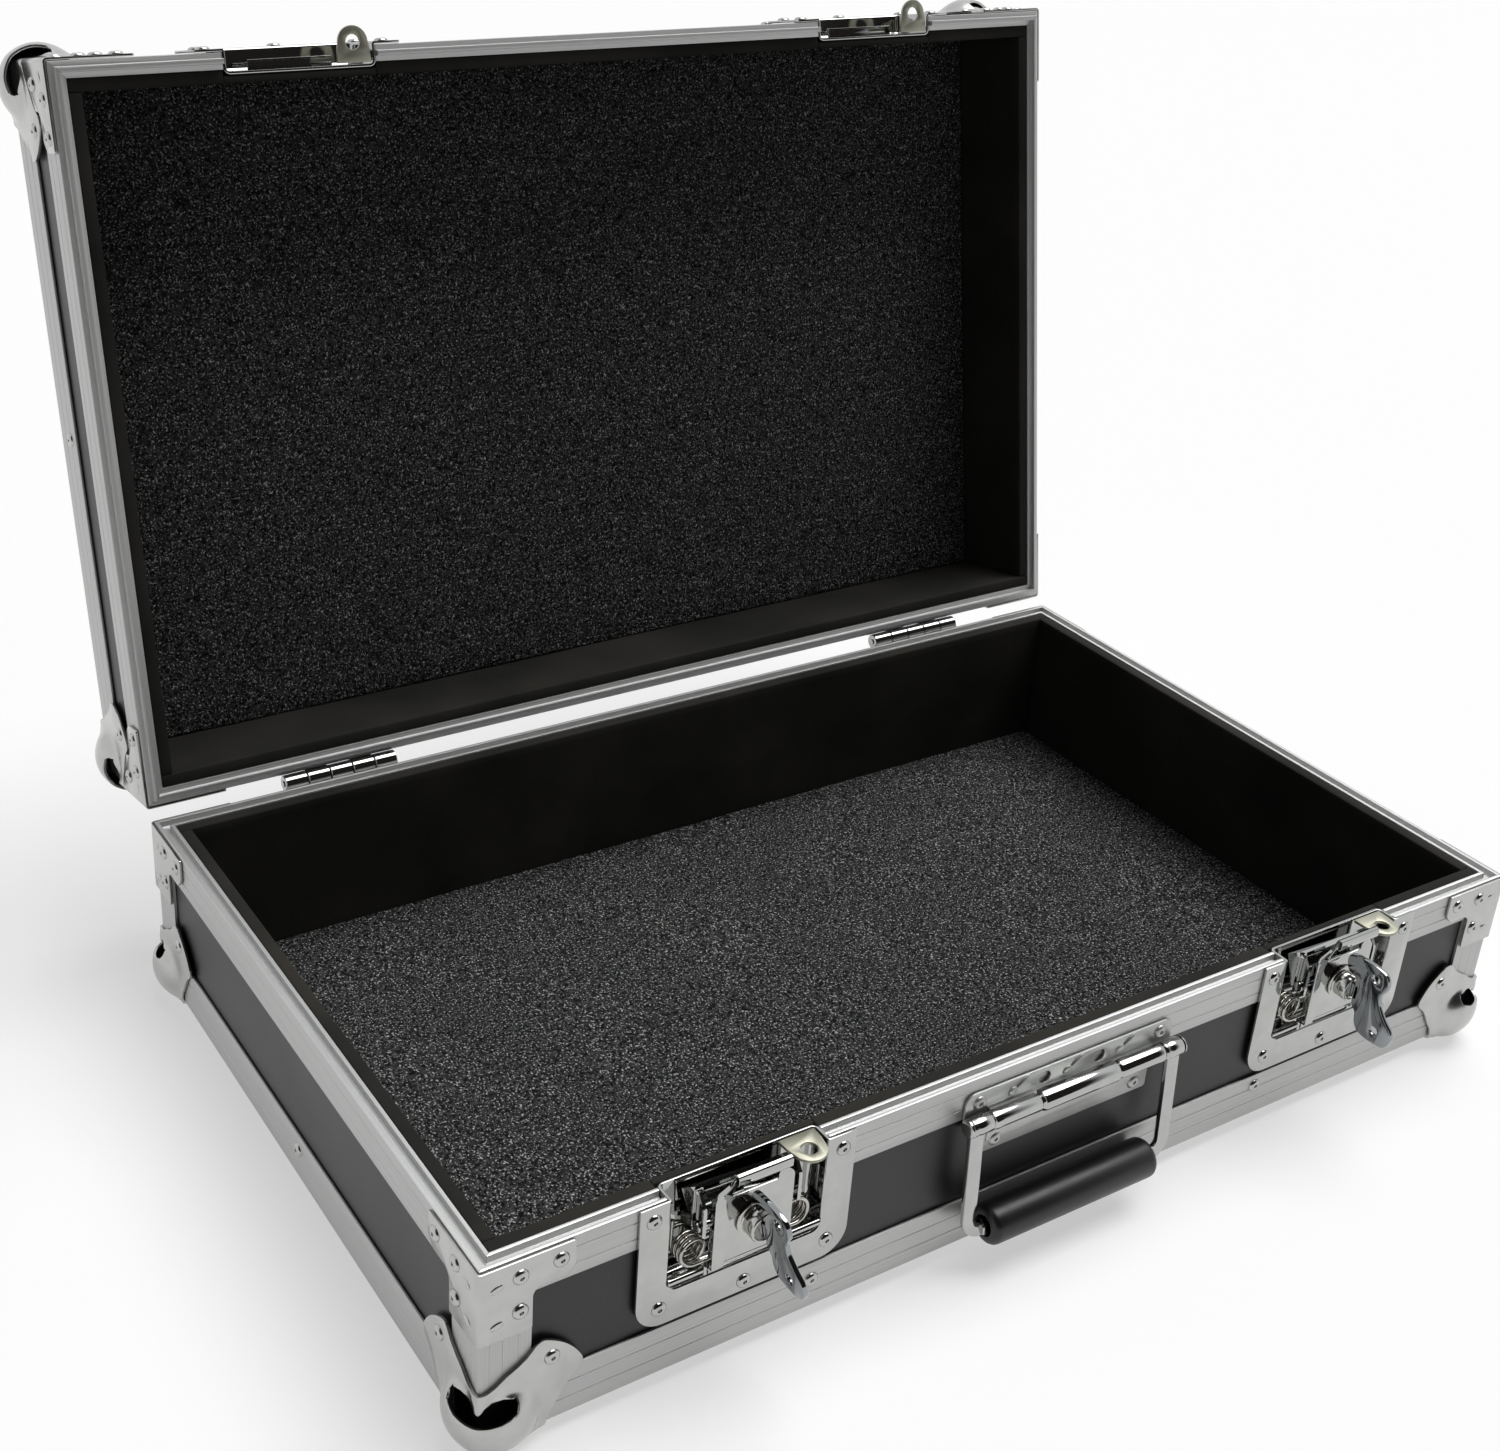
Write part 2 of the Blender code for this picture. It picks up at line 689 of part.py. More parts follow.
def lid_dish(side_name):
    dish, place = latch_dish(LID, side_name, LID_DISH_HEIGHT, LID_DISH_WINDOW)
    strike = box(
        f"{dish.name}_strike", (-STRIKE_WIDTH / 2, STRIKE_DROP, DISH_POCKET_DEPTH - STRIKE_DEPTH),
        (STRIKE_WIDTH / 2, STRIKE_DROP + SHEET, DISH_POCKET_DEPTH + SHEET / 2), place,
    )
    hook = box(
        f"{dish.name}_hook", (-STRIKE_WIDTH / 2, STRIKE_DROP, DISH_POCKET_DEPTH - STRIKE_DEPTH),
        (STRIKE_WIDTH / 2, STRIKE_DROP + STRIKE_DEPTH, DISH_POCKET_DEPTH - STRIKE_DEPTH + SHEET), place,
    )
    join(dish, strike, hook)
    return dish


def padlock_ear(half, side_name):
    name = f"{half['name']}_latch_ear_{side_name}"
    face = front_face(SIDES[side_name] * DISH_CENTRE + EAR_OFFSET, half)
    # Local X along the case, local Y outward from the front face, local Z away from the rim.
    place = face @ Matrix.Rotation(math.radians(-90), 4, "X")
    root = DISH_POCKET_DEPTH - CLEARANCE
    wide = EAR_WIDTH / 2
    tab = [(-wide, -root), (wide, -root), *arc((0, EAR_REACH), wide, 0, 180, 10)]
    ear = plate(name, tab, 0, EAR_THICKNESS, place, "steel")
    hole = rod(
        f"{name}_hole", (0, EAR_REACH, -OVERRUN), (0, EAR_REACH, OVERRUN), EAR_HOLE_RADIUS, SMALL_SIDES, place
    )
    return cut(ear, hole)


def latch_place(side_name):
    # Local X along the case, local Y up from the base's rim, local Z outward from the front face.
    x = SIDES[side_name] * DISH_CENTRE
    return axes_to((1, 0, 0), (0, 0, 1), (0, -1, 0), (x, -HALF_WIDTH, RIM_HEIGHT))


def side_view(place):
    # Turns an outline of (outward, up) into the latch's frame, with its thickness along the case.
    return place @ axes_to((0, 0, 1), (0, 1, 0), (1, 0, 0), (0, 0, 0))


def lever(side_name):
    name = f"latch_lever_{side_name}"
    place = latch_place(side_name)
    wide = LEVER_WIDTH / 2
    front, back = LEVER_FRONT, LEVER_FRONT - LEVER_SHEET
    pivot = (LEVER_PIVOT_FRONT, -LEVER_PIVOT_DROP)
    foot, bend = -LEVER_FOOT_DROP, -LEVER_BEND_DROP
    tip, tip_front = LEVER_TIP_RISE, LEVER_TIP_FRONT
    web = LEVER_SHEET / 3
    side = [
        (front, foot), (front, bend), (tip_front, tip - LEVER_SHEET), (tip_front - web, tip),
        (tip_front - LEVER_SHEET, tip - LEVER_SHEET), (back, bend), (back, foot + LEVER_SHEET),
        (pivot[0], foot + LEVER_SHEET), (pivot[0], foot - web), (front - 2 * web - LEVER_SHEET, foot - web),
    ]
    tip_wide = LEVER_TIP_WIDTH / 2
    corner = LEVER_TIP_CORNER
    shoulder = -LEVER_SHOULDER_DROP
    over = LEVER_SHEET
    half_front = [
        (wide, foot - LEVER_KNUCKLE_RADIUS), (wide, shoulder), (tip_wide, shoulder + wide - tip_wide),
        (tip_wide, tip - corner), (tip_wide - corner, tip + over),
    ]
    front_view = half_front + [(-x, y) for x, y in reversed(half_front)]
    body = plate(name, side, -wide, wide, side_view(place), "steel")
    combine(body, plate(f"{name}_outline", front_view, -OVERRUN, OVERRUN * 2, place), "INTERSECT")
    knuckle = ((-wide, pivot[1], pivot[0]), (wide, pivot[1], pivot[0]))
    join(body, rod(f"{name}_knuckle", *knuckle, LEVER_KNUCKLE_RADIUS, place=place))
    bore = ((-wide - over, pivot[1], pivot[0]), (wide + over, pivot[1], pivot[0]))
    cut(body, rod(f"{name}_bore", *bore, LEVER_PIVOT_RADIUS + CLEARANCE, place=place))
    pin_drop, pin_end = -CLAW_PIVOT_DROP, CLAW_WIDTH / 2 + CLEARANCE
    for number, sign in enumerate((-1, 1)):
        lug = box(
            f"{name}_lug_{number}",
            (sign * (wide - CLEARANCE), pin_drop - LEVER_PIVOT_RADIUS, LEVER_PIVOT_FRONT),
            (
                sign * (wide - CLEARANCE - LEVER_LUG_THICKNESS), pin_drop + LEVER_PIVOT_RADIUS,
                front - LEVER_SHEET / 2,
            ),
            place,
        )
        join(body, lug)
    pin = ((-pin_end, pin_drop, LEVER_PIVOT_FRONT), (pin_end, pin_drop, LEVER_PIVOT_FRONT))
    join(body, rod(f"{name}_claw_pin", *pin, LEVER_PIVOT_RADIUS, place=place))
    hole = ((0, -LOCK_DROP, back - LEVER_SHEET / 2), (0, -LOCK_DROP, front + LEVER_SHEET))
    cut(body, rod(f"{name}_lock_hole", *hole, LOCK_SHANK_RADIUS + CLEARANCE, ROUND_SIDES, place))
    set_origin(body, place @ Vector((0, pivot[1], pivot[0])))
    return body


def claw(side_name):
    name = f"latch_claw_{side_name}"
    place = latch_place(side_name)
    wide = CLAW_WIDTH / 2
    back, front = -CLAW_BACK_DEPTH, CLAW_FLANGE_FRONT
    head, foot = -CLAW_HEAD_DROP, -CLAW_FOOT_DROP
    side = [
        (back, foot), (front, foot), (front, -CLAW_SHOULDER_DROP), (0, head - CLAW_HEAD_SLOPE), (back, head),
    ]
    body = plate(name, side, -wide, wide, side_view(place), "steel")
    inside = wide - CLAW_SHEET
    hollow = box(
        f"{name}_hollow", (-inside, foot - OVERRUN, back + CLAW_SHEET),
        (inside, OVERRUN, front + OVERRUN), place,
    )
    under = box(
        f"{name}_under", (-inside, foot - OVERRUN, back - OVERRUN),
        (inside, -CLAW_BACK_FOOT_DROP, front + OVERRUN), place,
    )
    cut(body, hollow, under)
    axis = -CLAW_PIVOT_DROP
    bore = ((-wide - OVERRUN, axis, LEVER_PIVOT_FRONT), (wide + OVERRUN, axis, LEVER_PIVOT_FRONT))
    cut(body, rod(f"{name}_bore", *bore, LEVER_PIVOT_RADIUS + CLEARANCE, place=place))
    return set_origin(body, place @ Vector((0, axis, LEVER_PIVOT_FRONT)))


def spring_points():
    # Half a double torsion spring: an upright arm, then a coil that ends at its lowest point, where
    # the wire leaves along the bridge to the other coil.
    rear = DISH_POCKET_DEPTH - CLEARANCE - SPRING_WIRE / 2
    steps = round(SPRING_TURNS * SPRING_CURL_POINTS)
    start = rear - SPRING_PITCH * SPRING_TURNS
    side = SPRING_OFFSET + SPRING_RADIUS
    points = [Vector((side, height - SPRING_DROP, -start)) for height in (SPRING_ARM, SPRING_WIRE)]
    for step in range(steps + 1):
        turn = -2 * math.pi * step / SPRING_CURL_POINTS
        depth = start + SPRING_PITCH * SPRING_TURNS * step / steps
        points.append(
            Vector(
                (
                    SPRING_OFFSET + SPRING_RADIUS * math.cos(turn),
                    SPRING_RADIUS * math.sin(turn) - SPRING_DROP, -depth,
                )
            )
        )
    return points


def least_gap(points, radius, apart):
    # The least gap of a wire to its own other turns, from dense points along its centre line.
    dense = []
    length = 0
    for first, second in zip(points, points[1:]):
        for step in range(6):
            dense.append((length + (second - first).length * step / 6, first.lerp(second, step / 6)))
        length += (second - first).length
    return min(
        (a - b).length - 2 * radius
        for index, (here, a) in enumerate(dense)
        for there, b in dense[index + 1:]
        if there - here > apart
    )


def spring(side_name):
    name = f"latch_spring_{side_name}"
    right = spring_points()
    left = [Vector((-point.x, point.y, point.z)) for point in reversed(right)]
    points = right + left
    gap = least_gap(points, SPRING_WIRE / 2, math.pi * SPRING_RADIUS)
    print(name, "least gap to itself, mm:", round(gap * 1000, 3), "over", SPRING_LEAST_GAP * 1000)
    curve = bpy.data.curves.new(name, "CURVE")
    curve.dimensions = "3D"
    curve.bevel_depth = SPRING_WIRE / 2
    curve.bevel_resolution = 1
    curve.use_fill_caps = True
    spline = curve.splines.new("POLY")
    spline.points.add(len(points) - 1)
    place = latch_place(side_name)
    for target, point in zip(spline.points, points):
        target.co = (*(place @ point), 1)
    thing = bpy.data.objects.new(name, curve)
    PARTS.objects.link(thing)
    paint(thing, "steel")
    return thing


def lock_barrel(side_name):
    name = f"lock_barrel_{side_name}"
    place = latch_place(side_name)
    seat = LEVER_FRONT + CLEARANCE
    drop = -LOCK_DROP
    body = rod(
        name, (0, drop, seat), (0, drop, seat + LOCK_FLANGE_THICKNESS), LOCK_FLANGE_RADIUS, ROUND_SIDES,
        place, "nickel",
    )
    front = ((0, drop, seat + LOCK_FLANGE_THICKNESS / 2), (0, drop, LOCK_FRONT))
    shank = ((0, drop, LEVER_FRONT - LEVER_SHEET), (0, drop, seat + LOCK_FLANGE_THICKNESS / 2))
    join(body, rod(f"{name}_front", *front, LOCK_RADIUS, ROUND_SIDES, place))
    join(body, rod(f"{name}_shank", *shank, LOCK_SHANK_RADIUS, ROUND_SIDES, place))
    wide, tall = KEY_THICKNESS / 2 + CLEARANCE, KEYWAY_HEIGHT / 2
    keyway = box(
        f"{name}_keyway", (-wide, drop - tall, LOCK_FRONT - KEYWAY_DEPTH),
        (wide, drop + tall, LOCK_FRONT + OVERRUN), place,
    )
    cut(body, keyway)
    smooth(body)
    return set_origin(body, place @ Vector((0, drop, LOCK_FRONT)))


def key(side_name):
    name = f"lock_key_{side_name}"
    place = latch_place(side_name)
    low = -LOCK_DROP - KEY_HEIGHT / 2
    outline = [(KEY_FRONT + KEY_LENGTH * out, low + KEY_HEIGHT * up) for out, up in KEY_BOW_SHARES]
    thick = KEY_THICKNESS / 2
    body = plate(name, outline, -thick, thick, side_view(place), "nickel")
    tall = KEY_BLADE_HEIGHT / 2
    blade = box(
        f"{name}_blade", (-thick, -LOCK_DROP - tall, KEY_FRONT - KEY_BLADE_LENGTH),
        (thick, -LOCK_DROP + tall, KEY_FRONT + KEY_THICKNESS), place,
    )
    join(body, blade)
    for number, (out, up) in enumerate(KEY_HOLE_SHARES):
        centre = (low + KEY_HEIGHT * up, KEY_FRONT + KEY_LENGTH * out)
        hole = ((-OVERRUN, *centre), (OVERRUN, *centre))
        cut(body, rod(f"{name}_hole_{number}", *hole, KEY_HOLE_RADIUS, place=place))
    return set_origin(body, place @ Vector((0, -LOCK_DROP, LOCK_FRONT)))


def latch(side_name):
    base_dish(side_name)
    lid_ear = padlock_ear(LID, side_name)
    padlock_ear(BASE, side_name)
    lever(side_name)
    claw(side_name)
    spring(side_name)
    for turned in (lock_barrel(side_name), key(side_name)):
        turned.rotation_euler.y = KEY_TURNS[side_name]
    return lid_dish(side_name), lid_ear


def handle_frame():
    # Local X along the case, local Y up from the base's rim, local Z outward from the front face.
    return axes_to((1, 0, 0), (0, 0, 1), (0, -1, 0), (0, -HALF_WIDTH, RIM_HEIGHT))


def handle_plate():
    place = handle_frame()
    wide, narrow = HANDLE_WIDTH / 2, HANDLE_LOWER_WIDTH / 2
    half_outline = [
        (narrow, -HANDLE_BOTTOM_DROP), (narrow, -HANDLE_STEP_DROP - HANDLE_STEP_SLOPE),
        (wide, -HANDLE_STEP_DROP), (wide, -HANDLE_TOP_DROP - BRACE_FILLET),
        (wide - BRACE_FILLET, -HANDLE_TOP_DROP),
    ]
    outline = half_outline + [(-x, y) for x, y in reversed(half_outline)]
    body = plate("handle_plate", outline, CLEARANCE, SHEET_OUTER, place, "steel")
    axis = (-HANDLE_PIVOT_DROP, HANDLE_PIVOT_FRONT)
    end = BAIL_WIDTH / 2 - BAIL_EYE_WIDTH - CLEARANCE
    head = BAIL_WIDTH / 2 + CLEARANCE
    web = box(
        "handle_plate_web",
        (HANDLE_PIN_RADIUS - end, axis[0] - HANDLE_WEB_HEIGHT / 2, SHEET_OUTER - SHEET / 2),
        (end - HANDLE_PIN_RADIUS, axis[0] + HANDLE_WEB_HEIGHT / 2, axis[1] - HANDLE_PIN_RADIUS), place,
    )
    join(body, web)
    spans = (
        ("knuckle", end, HANDLE_KNUCKLE_RADIUS),
        ("sleeve", HANDLE_SLEEVE_WIDTH / 2, HANDLE_SLEEVE_RADIUS),
        ("pin", head + HANDLE_PIN_HEAD / 2, HANDLE_PIN_RADIUS),
    )
    for label, reach, radius in spans:
        join(body, rod(f"handle_plate_{label}", (-reach, *axis), (reach, *axis), radius, place=place))
    for number, sign in enumerate((-1, 1)):
        cap = ((sign * head, *axis), (sign * (head + HANDLE_PIN_HEAD), *axis))
        join(body, rod(f"handle_plate_cap_{number}", *cap, HANDLE_KNUCKLE_RADIUS, place=place))
        x = sign * HANDLE_HOLE_OFFSET
        hole = ((x, -HANDLE_RIVET_DROP, -OVERRUN), (x, -HANDLE_RIVET_DROP, SHEET_OUTER + CLEARANCE))
        cut(body, rod(f"handle_plate_hole_{number}", *hole, HANDLE_HOLE_RADIUS, place=place))
    places = [(sign * HANDLE_RIVET_OFFSET, HANDLE_RIVET_DROP) for sign in (-1, 1)]
    places += [(sign * HANDLE_LOW_RIVET_OFFSET, HANDLE_LOW_RIVET_DROP) for sign in (-1, 1)]
    return join(body, rivets("handle_plate_rivets", places, front_face(0, BASE)))


def handle_bail():
    # The bail hangs straight down from its pivot here, and its lean is the object's rotation.
    pivot = Vector((0, -HALF_WIDTH - HANDLE_PIVOT_FRONT, RIM_HEIGHT - HANDLE_PIVOT_DROP))
    place = axes_to((1, 0, 0), (0, 0, 1), (0, -1, 0), pivot)
    outer = BAIL_WIDTH / 2
    inner = outer - BAIL_BAND
    low = -BAIL_LENGTH - BAIL_BAND / 2
    high = -BAIL_LENGTH + BAIL_BAND / 2
    small = BAIL_CORNER - BAIL_BAND
    outline = [
        (outer, 0), (inner, 0), *arc((inner - small, high + small), small, 0, -90, 2),
        *arc((small - inner, high + small), small, -90, -180, 2), (-inner, 0), (-outer, 0),
        *arc((BAIL_CORNER - outer, low + BAIL_CORNER), BAIL_CORNER, 180, 270, 4),
        *arc((outer - BAIL_CORNER, low + BAIL_CORNER), BAIL_CORNER, 270, 360, 4),
    ]
    thick = BAIL_THICKNESS / 2
    bail = plate("handle_bail", outline, -thick, thick, place, "steel")
    for number, sign in enumerate((-1, 1)):
        near, far = sign * (outer - BAIL_EYE_WIDTH), sign * outer
        eye = rod(f"handle_bail_eye_{number}", (near, 0, 0), (far, 0, 0), HANDLE_KNUCKLE_RADIUS, place=place)
        join(bail, eye)
    bore = HANDLE_PIN_RADIUS + CLEARANCE
    reach = outer + OVERRUN
    cut(bail, rod("handle_bail_bore", (-reach, 0, 0), (reach, 0, 0), bore, place=place))
    # The grip is turned: a bore, with its outer side rounded off at both ends.
    half = GRIP_LENGTH / 2
    profile = [
        (half, GRIP_BORE_RADIUS), (half, GRIP_RADIUS - GRIP_END), (half - GRIP_END, GRIP_RADIUS),
        (GRIP_END - half, GRIP_RADIUS), (-half, GRIP_RADIUS - GRIP_END), (-half, GRIP_BORE_RADIUS),
    ]
    bm = bmesh.new()
    loop = [bm.verts.new((along, radius, 0)) for along, radius in profile]
    edges = [bm.edges.new((loop[index - 1], loop[index])) for index in range(len(loop))]
    bmesh.ops.spin(
        bm, geom=loop + edges, cent=(0, 0, 0), axis=(1, 0, 0), angle=math.radians(360), steps=ROUND_SIDES,
        use_merge=True,
    )
    grip = from_bmesh("handle_grip", bm, place @ Matrix.Translation((0, -BAIL_LENGTH, 0)), "rubber")
    smooth(grip)
    for thing in (bail, grip):
        set_origin(thing, pivot)
        thing.rotation_euler.x = -BAIL_LEAN


def hinge_leaf(half, side_name):
    # Local X along the case, local Y away from the rim, local Z out from the rear face, at the hinge axis.
    name = f"{half['name']}_hinge_leaf_{side_name}"
    x = SIDES[side_name] * HINGE_CENTRE
    place = axes_to((1, 0, 0), (0, 0, -half["up"]), (0, 1, 0), (x, HINGE_AXIS.y, HINGE_AXIS.z))
    near = CLEARANCE - HINGE_AXIS_BEHIND
    far = near + HINGE_LEAF
    wide = HINGE_WIDTH / 2
    leaf = box(name, (-wide, HINGE_NOTCH, near), (wide, HINGE_LEAF_DROP, far), place, "steel")
    pitch = HINGE_WIDTH / HINGE_KNUCKLES
    kept = range(0, HINGE_KNUCKLES, 2) if half is BASE else range(1, HINGE_KNUCKLES, 2)
    for number in kept:
        start = -wide + pitch * number + (CLEARANCE / 2 if number else 0)
        end = -wide + pitch * (number + 1) - (CLEARANCE / 2 if number + 1 < HINGE_KNUCKLES else 0)
        link = box(f"{name}_link_{number}", (start, 0, near), (end, HINGE_NOTCH + HINGE_LEAF, far), place)
        knuckle = rod(f"{name}_knuckle_{number}", (start, 0, 0), (end, 0, 0), HINGE_RADIUS, place=place)
        join(leaf, link, knuckle)
    if half is BASE:
        # The pin is held in the two outer knuckles.
        reach = wide - pitch / 2
        join(leaf, rod(f"{name}_pin", (-reach, 0, 0), (reach, 0, 0), HINGE_PIN_RADIUS, place=place))
    else:
        reach = wide + OVERRUN
        bore = HINGE_PIN_RADIUS + CLEARANCE
        cut(leaf, rod(f"{name}_bore", (-reach, 0, 0), (reach, 0, 0), bore, place=place))
    places = [(sign * (wide - HINGE_RIVET_INSET), row) for sign in (-1, 1) for row in HINGE_RIVET_ROWS]
    heads = place @ Matrix.Translation((0, 0, -HINGE_AXIS_BEHIND)) @ Matrix.Scale(-1, 4, (0, 0, 1))
    return join(leaf, rivets(f"{name}_rivets", places, heads))


def edging(half):
    name = "base_bottom_edging" if half is BASE else "lid_edging"
    return mitred(name, edging_profile(half), outline_of_case(), True, half, "aluminium")


def build_base():
    flat_panel(BASE, "base_floor_panel")
    wall_panels(BASE, BASE_DISH_WINDOW)
    edging(BASE)
    rims(BASE, tongue=False)
    wall_foam(BASE, BASE_DISH_WINDOW)
    carpet(BASE, "base_floor_carpet")
    top = RIM_OUTER_DEPTH + CLEARANCE
    bottom = BASE_HEIGHT - EDGING_WIDTH - CLEARANCE
    for side_name, side in SIDES.items():
        for end_name, end in ENDS.items():
            post(f"base_corner_post_{end_name}_{side_name}", BASE, side, end, top, bottom, "aluminium")
            ball_corner(BASE, side_name, end_name)
            corner_brace(BASE, side_name, end_name)
        hinge_leaf(BASE, side_name)
    handle_plate()
    handle_bail()


def build_lid():
    frame = edging(LID)
    pieces = [frame, flat_panel(LID, "lid_top_panel"), wall_panels(LID, LID_DISH_WINDOW)]
    pieces += [*rims(LID, tongue=True), wall_foam(LID, LID_DISH_WINDOW), carpet(LID, "lid_top_carpet")]
    top = RIM_OUTER_DEPTH + CLEARANCE
    for side_name, side in SIDES.items():
        for end_name, end in ENDS.items():
            name = f"lid_edging_post_{end_name}_{side_name}"
            join(frame, post(name, LID, side, end, top, LID_HEIGHT - EDGING_WALL / 2, None))
            pieces += [ball_corner(LID, side_name, end_name), corner_brace(LID, side_name, end_name)]
        pieces.append(hinge_leaf(LID, side_name))
    return pieces


def main():
    build_base()
    lid_pieces = build_lid()
    for side_name in SIDES:
        lid_pieces += latch(side_name)
    pivot = bpy.data.objects.new("lid_pivot", None)
    PARTS.objects.link(pivot)
    pivot.location = HINGE_AXIS
    attach(pivot, *lid_pieces)
    pivot.rotation_euler.x = -LID_OPEN_ANGLE


main()
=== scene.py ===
# Looks for the utility case: black laminate, aluminium edging and plated fittings.
# Shapes are modelled in millimetres and placed in the frame's metres.
import math

import bmesh
import bpy
from mathutils import Matrix, Vector, noise


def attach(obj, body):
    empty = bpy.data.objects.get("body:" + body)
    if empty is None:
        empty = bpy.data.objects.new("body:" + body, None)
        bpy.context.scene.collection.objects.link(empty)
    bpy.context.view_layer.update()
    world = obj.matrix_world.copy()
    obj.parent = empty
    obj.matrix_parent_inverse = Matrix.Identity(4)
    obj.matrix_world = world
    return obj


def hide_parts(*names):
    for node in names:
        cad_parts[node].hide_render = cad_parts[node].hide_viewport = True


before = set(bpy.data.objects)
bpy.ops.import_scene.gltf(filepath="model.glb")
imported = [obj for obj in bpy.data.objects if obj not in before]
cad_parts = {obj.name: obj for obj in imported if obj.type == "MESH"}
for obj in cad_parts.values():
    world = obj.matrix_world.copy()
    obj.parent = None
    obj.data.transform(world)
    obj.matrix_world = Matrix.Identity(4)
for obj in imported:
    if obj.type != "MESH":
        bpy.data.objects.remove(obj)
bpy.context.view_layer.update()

case = {
    "halfLength": 270, "halfWidth": 166, "rim": {"base": 82.9, "lid": 83.5}, "outer": {"base": -1.5, "lid": 144},
    "up": {"base": 1, "lid": -1}, "height": {"base": 84.4, "lid": 60.5},
    "hinge": (0, 170.6, 83.2), "lidAngle": 101, "sheetOut": 1.5, "sheet": 1.2, "dish": 158.5,
}
sideSigns = {"left": -1, "right": 1}
endSigns = {"front": -1, "rear": 1}
halfNames = ("base", "lid")
millimetre = 0.001

# Materials


def linear(code):
    # sRGB hex to linear colour
    channels = [int(code[i:i + 2], 16) / 255 for i in (1, 3, 5)]
    return (*[c / 12.92 if c <= 0.04045 else ((c + 0.055) / 1.055) ** 2.4 for c in channels], 1)


def addNode(tree, kind, settings=None, links=None):
    node = tree.nodes.new(kind)
    for key, value in (settings or {}).items():
        if key in node.inputs:
            node.inputs[key].default_value = value
        else:
            setattr(node, key, value)
    for key, source in (links or {}).items():
        tree.links.new(source, node.inputs[key])
    return node


def newMaterial(name, settings):
    material = bpy.data.materials.new(name)
    material.use_nodes = True
    tree = material.node_tree
    shader = tree.nodes["Principled BSDF"]
    for key, value in settings.items():
        shader.inputs[key].default_value = value
    return material, tree, shader


def ramp(tree, source, low, high, colours):
    node = addNode(tree, "ShaderNodeValToRGB", links={"Fac": source})
    node.color_ramp.elements[0].position = low
    node.color_ramp.elements[1].position = high
    for element, colour in zip(node.color_ramp.elements, colours):
        element.color = colour
    return node


def objectNoise(tree, scale, detail=2.0, stretch=(1, 1, 1), coordinates="Object"):
    place = addNode(tree, "ShaderNodeTexCoord")
    turned = addNode(tree, "ShaderNodeMapping", {"Scale": stretch}, {"Vector": place.outputs[coordinates]})
    return addNode(
        tree, "ShaderNodeTexNoise", {"Scale": scale, "Detail": detail}, {"Vector": turned.outputs["Vector"]}
    )


def bumpInto(tree, shader, height, strength, distance):
    bump = addNode(
        tree, "ShaderNodeBump", {"Strength": strength, "Distance": distance}, {"Height": height}
    )
    tree.links.new(bump.outputs["Normal"], shader.inputs["Normal"])
    return bump


def makeLaminate():
    # Phenolic laminate on plywood, pressed on a textured plate: a fine pebble that breaks the gloss
    material, tree, shader = newMaterial("blackPhenolicLaminate", {"Roughness": 0.42})
    pebble = objectNoise(tree, 900, 2)  # grain of about 1 mm
    broad = objectNoise(tree, 14, 3)
    colour = ramp(tree, pebble.outputs["Fac"], 0.3, 0.75, (linear("#161517"), linear("#222124")))
    tree.links.new(colour.outputs["Color"], shader.inputs["Base Color"])
    rough = addNode(
        tree, "ShaderNodeMapRange", {"To Min": 0.36, "To Max": 0.5}, {"Value": broad.outputs["Fac"]}
    )
    tree.links.new(rough.outputs["Result"], shader.inputs["Roughness"])
    bumpInto(tree, shader, pebble.outputs["Fac"], 0.35, 0.00012)
    return material


def makeAluminium():
    # Extruded aluminium, etched and clear anodised: a milky satin, with faint die lines along each rail
    material, tree, shader = newMaterial("anodisedAluminiumExtrusion", {"Metallic": 0.8})
    lines = objectNoise(tree, 1, 3, (0.004, 2.2, 1), "UV")  # UV is in millimetres: lines about 0.5 mm apart
    cloud = objectNoise(tree, 16, 2)
    colour = ramp(tree, lines.outputs["Fac"], 0.25, 0.8, (linear("#bcbdbc"), linear("#cccccb")))
    tree.links.new(colour.outputs["Color"], shader.inputs["Base Color"])
    rough = addNode(
        tree, "ShaderNodeMapRange", {"To Min": 0.44, "To Max": 0.54}, {"Value": cloud.outputs["Fac"]}
    )
    tree.links.new(rough.outputs["Result"], shader.inputs["Roughness"])
    bumpInto(tree, shader, lines.outputs["Fac"], 0.14, 0.00006)
    return material


def makePlate(name, low, high, roughLow, roughHigh, bump):
    # Pressed sheet steel with a bright plating: soft ripples of the press, a little haze in the shine
    material, tree, shader = newMaterial(name, {"Metallic": 1.0})
    ripple = objectNoise(tree, 35, 1)
    haze = objectNoise(tree, 120, 2)
    colour = ramp(tree, haze.outputs["Fac"], 0.3, 0.75, (linear(low), linear(high)))
    tree.links.new(colour.outputs["Color"], shader.inputs["Base Color"])
    rough = addNode(
        tree, "ShaderNodeMapRange", {"To Min": roughLow, "To Max": roughHigh}, {"Value": haze.outputs["Fac"]}
    )
    tree.links.new(rough.outputs["Result"], shader.inputs["Roughness"])
    bumpInto(tree, shader, ripple.outputs["Fac"], bump, 0.0003)
    return material


def makeFoam():
    # Closed-cell foam, skived to a sheet: a dull skin with fine cells and soft grey scuffs
    material, tree, shader = newMaterial("closedCellFoam", {"Roughness": 0.85, "Specular IOR Level": 0.12})
    cells = objectNoise(tree, 1600, 2)  # cells of about 0.6 mm
    scuff = objectNoise(tree, 14, 5)
    colour = ramp(tree, scuff.outputs["Fac"], 0.35, 0.8, (linear("#21211f"), linear("#383632")))
    tree.links.new(colour.outputs["Color"], shader.inputs["Base Color"])
    bumpInto(tree, shader, cells.outputs["Fac"], 0.4, 0.0002)
    return material


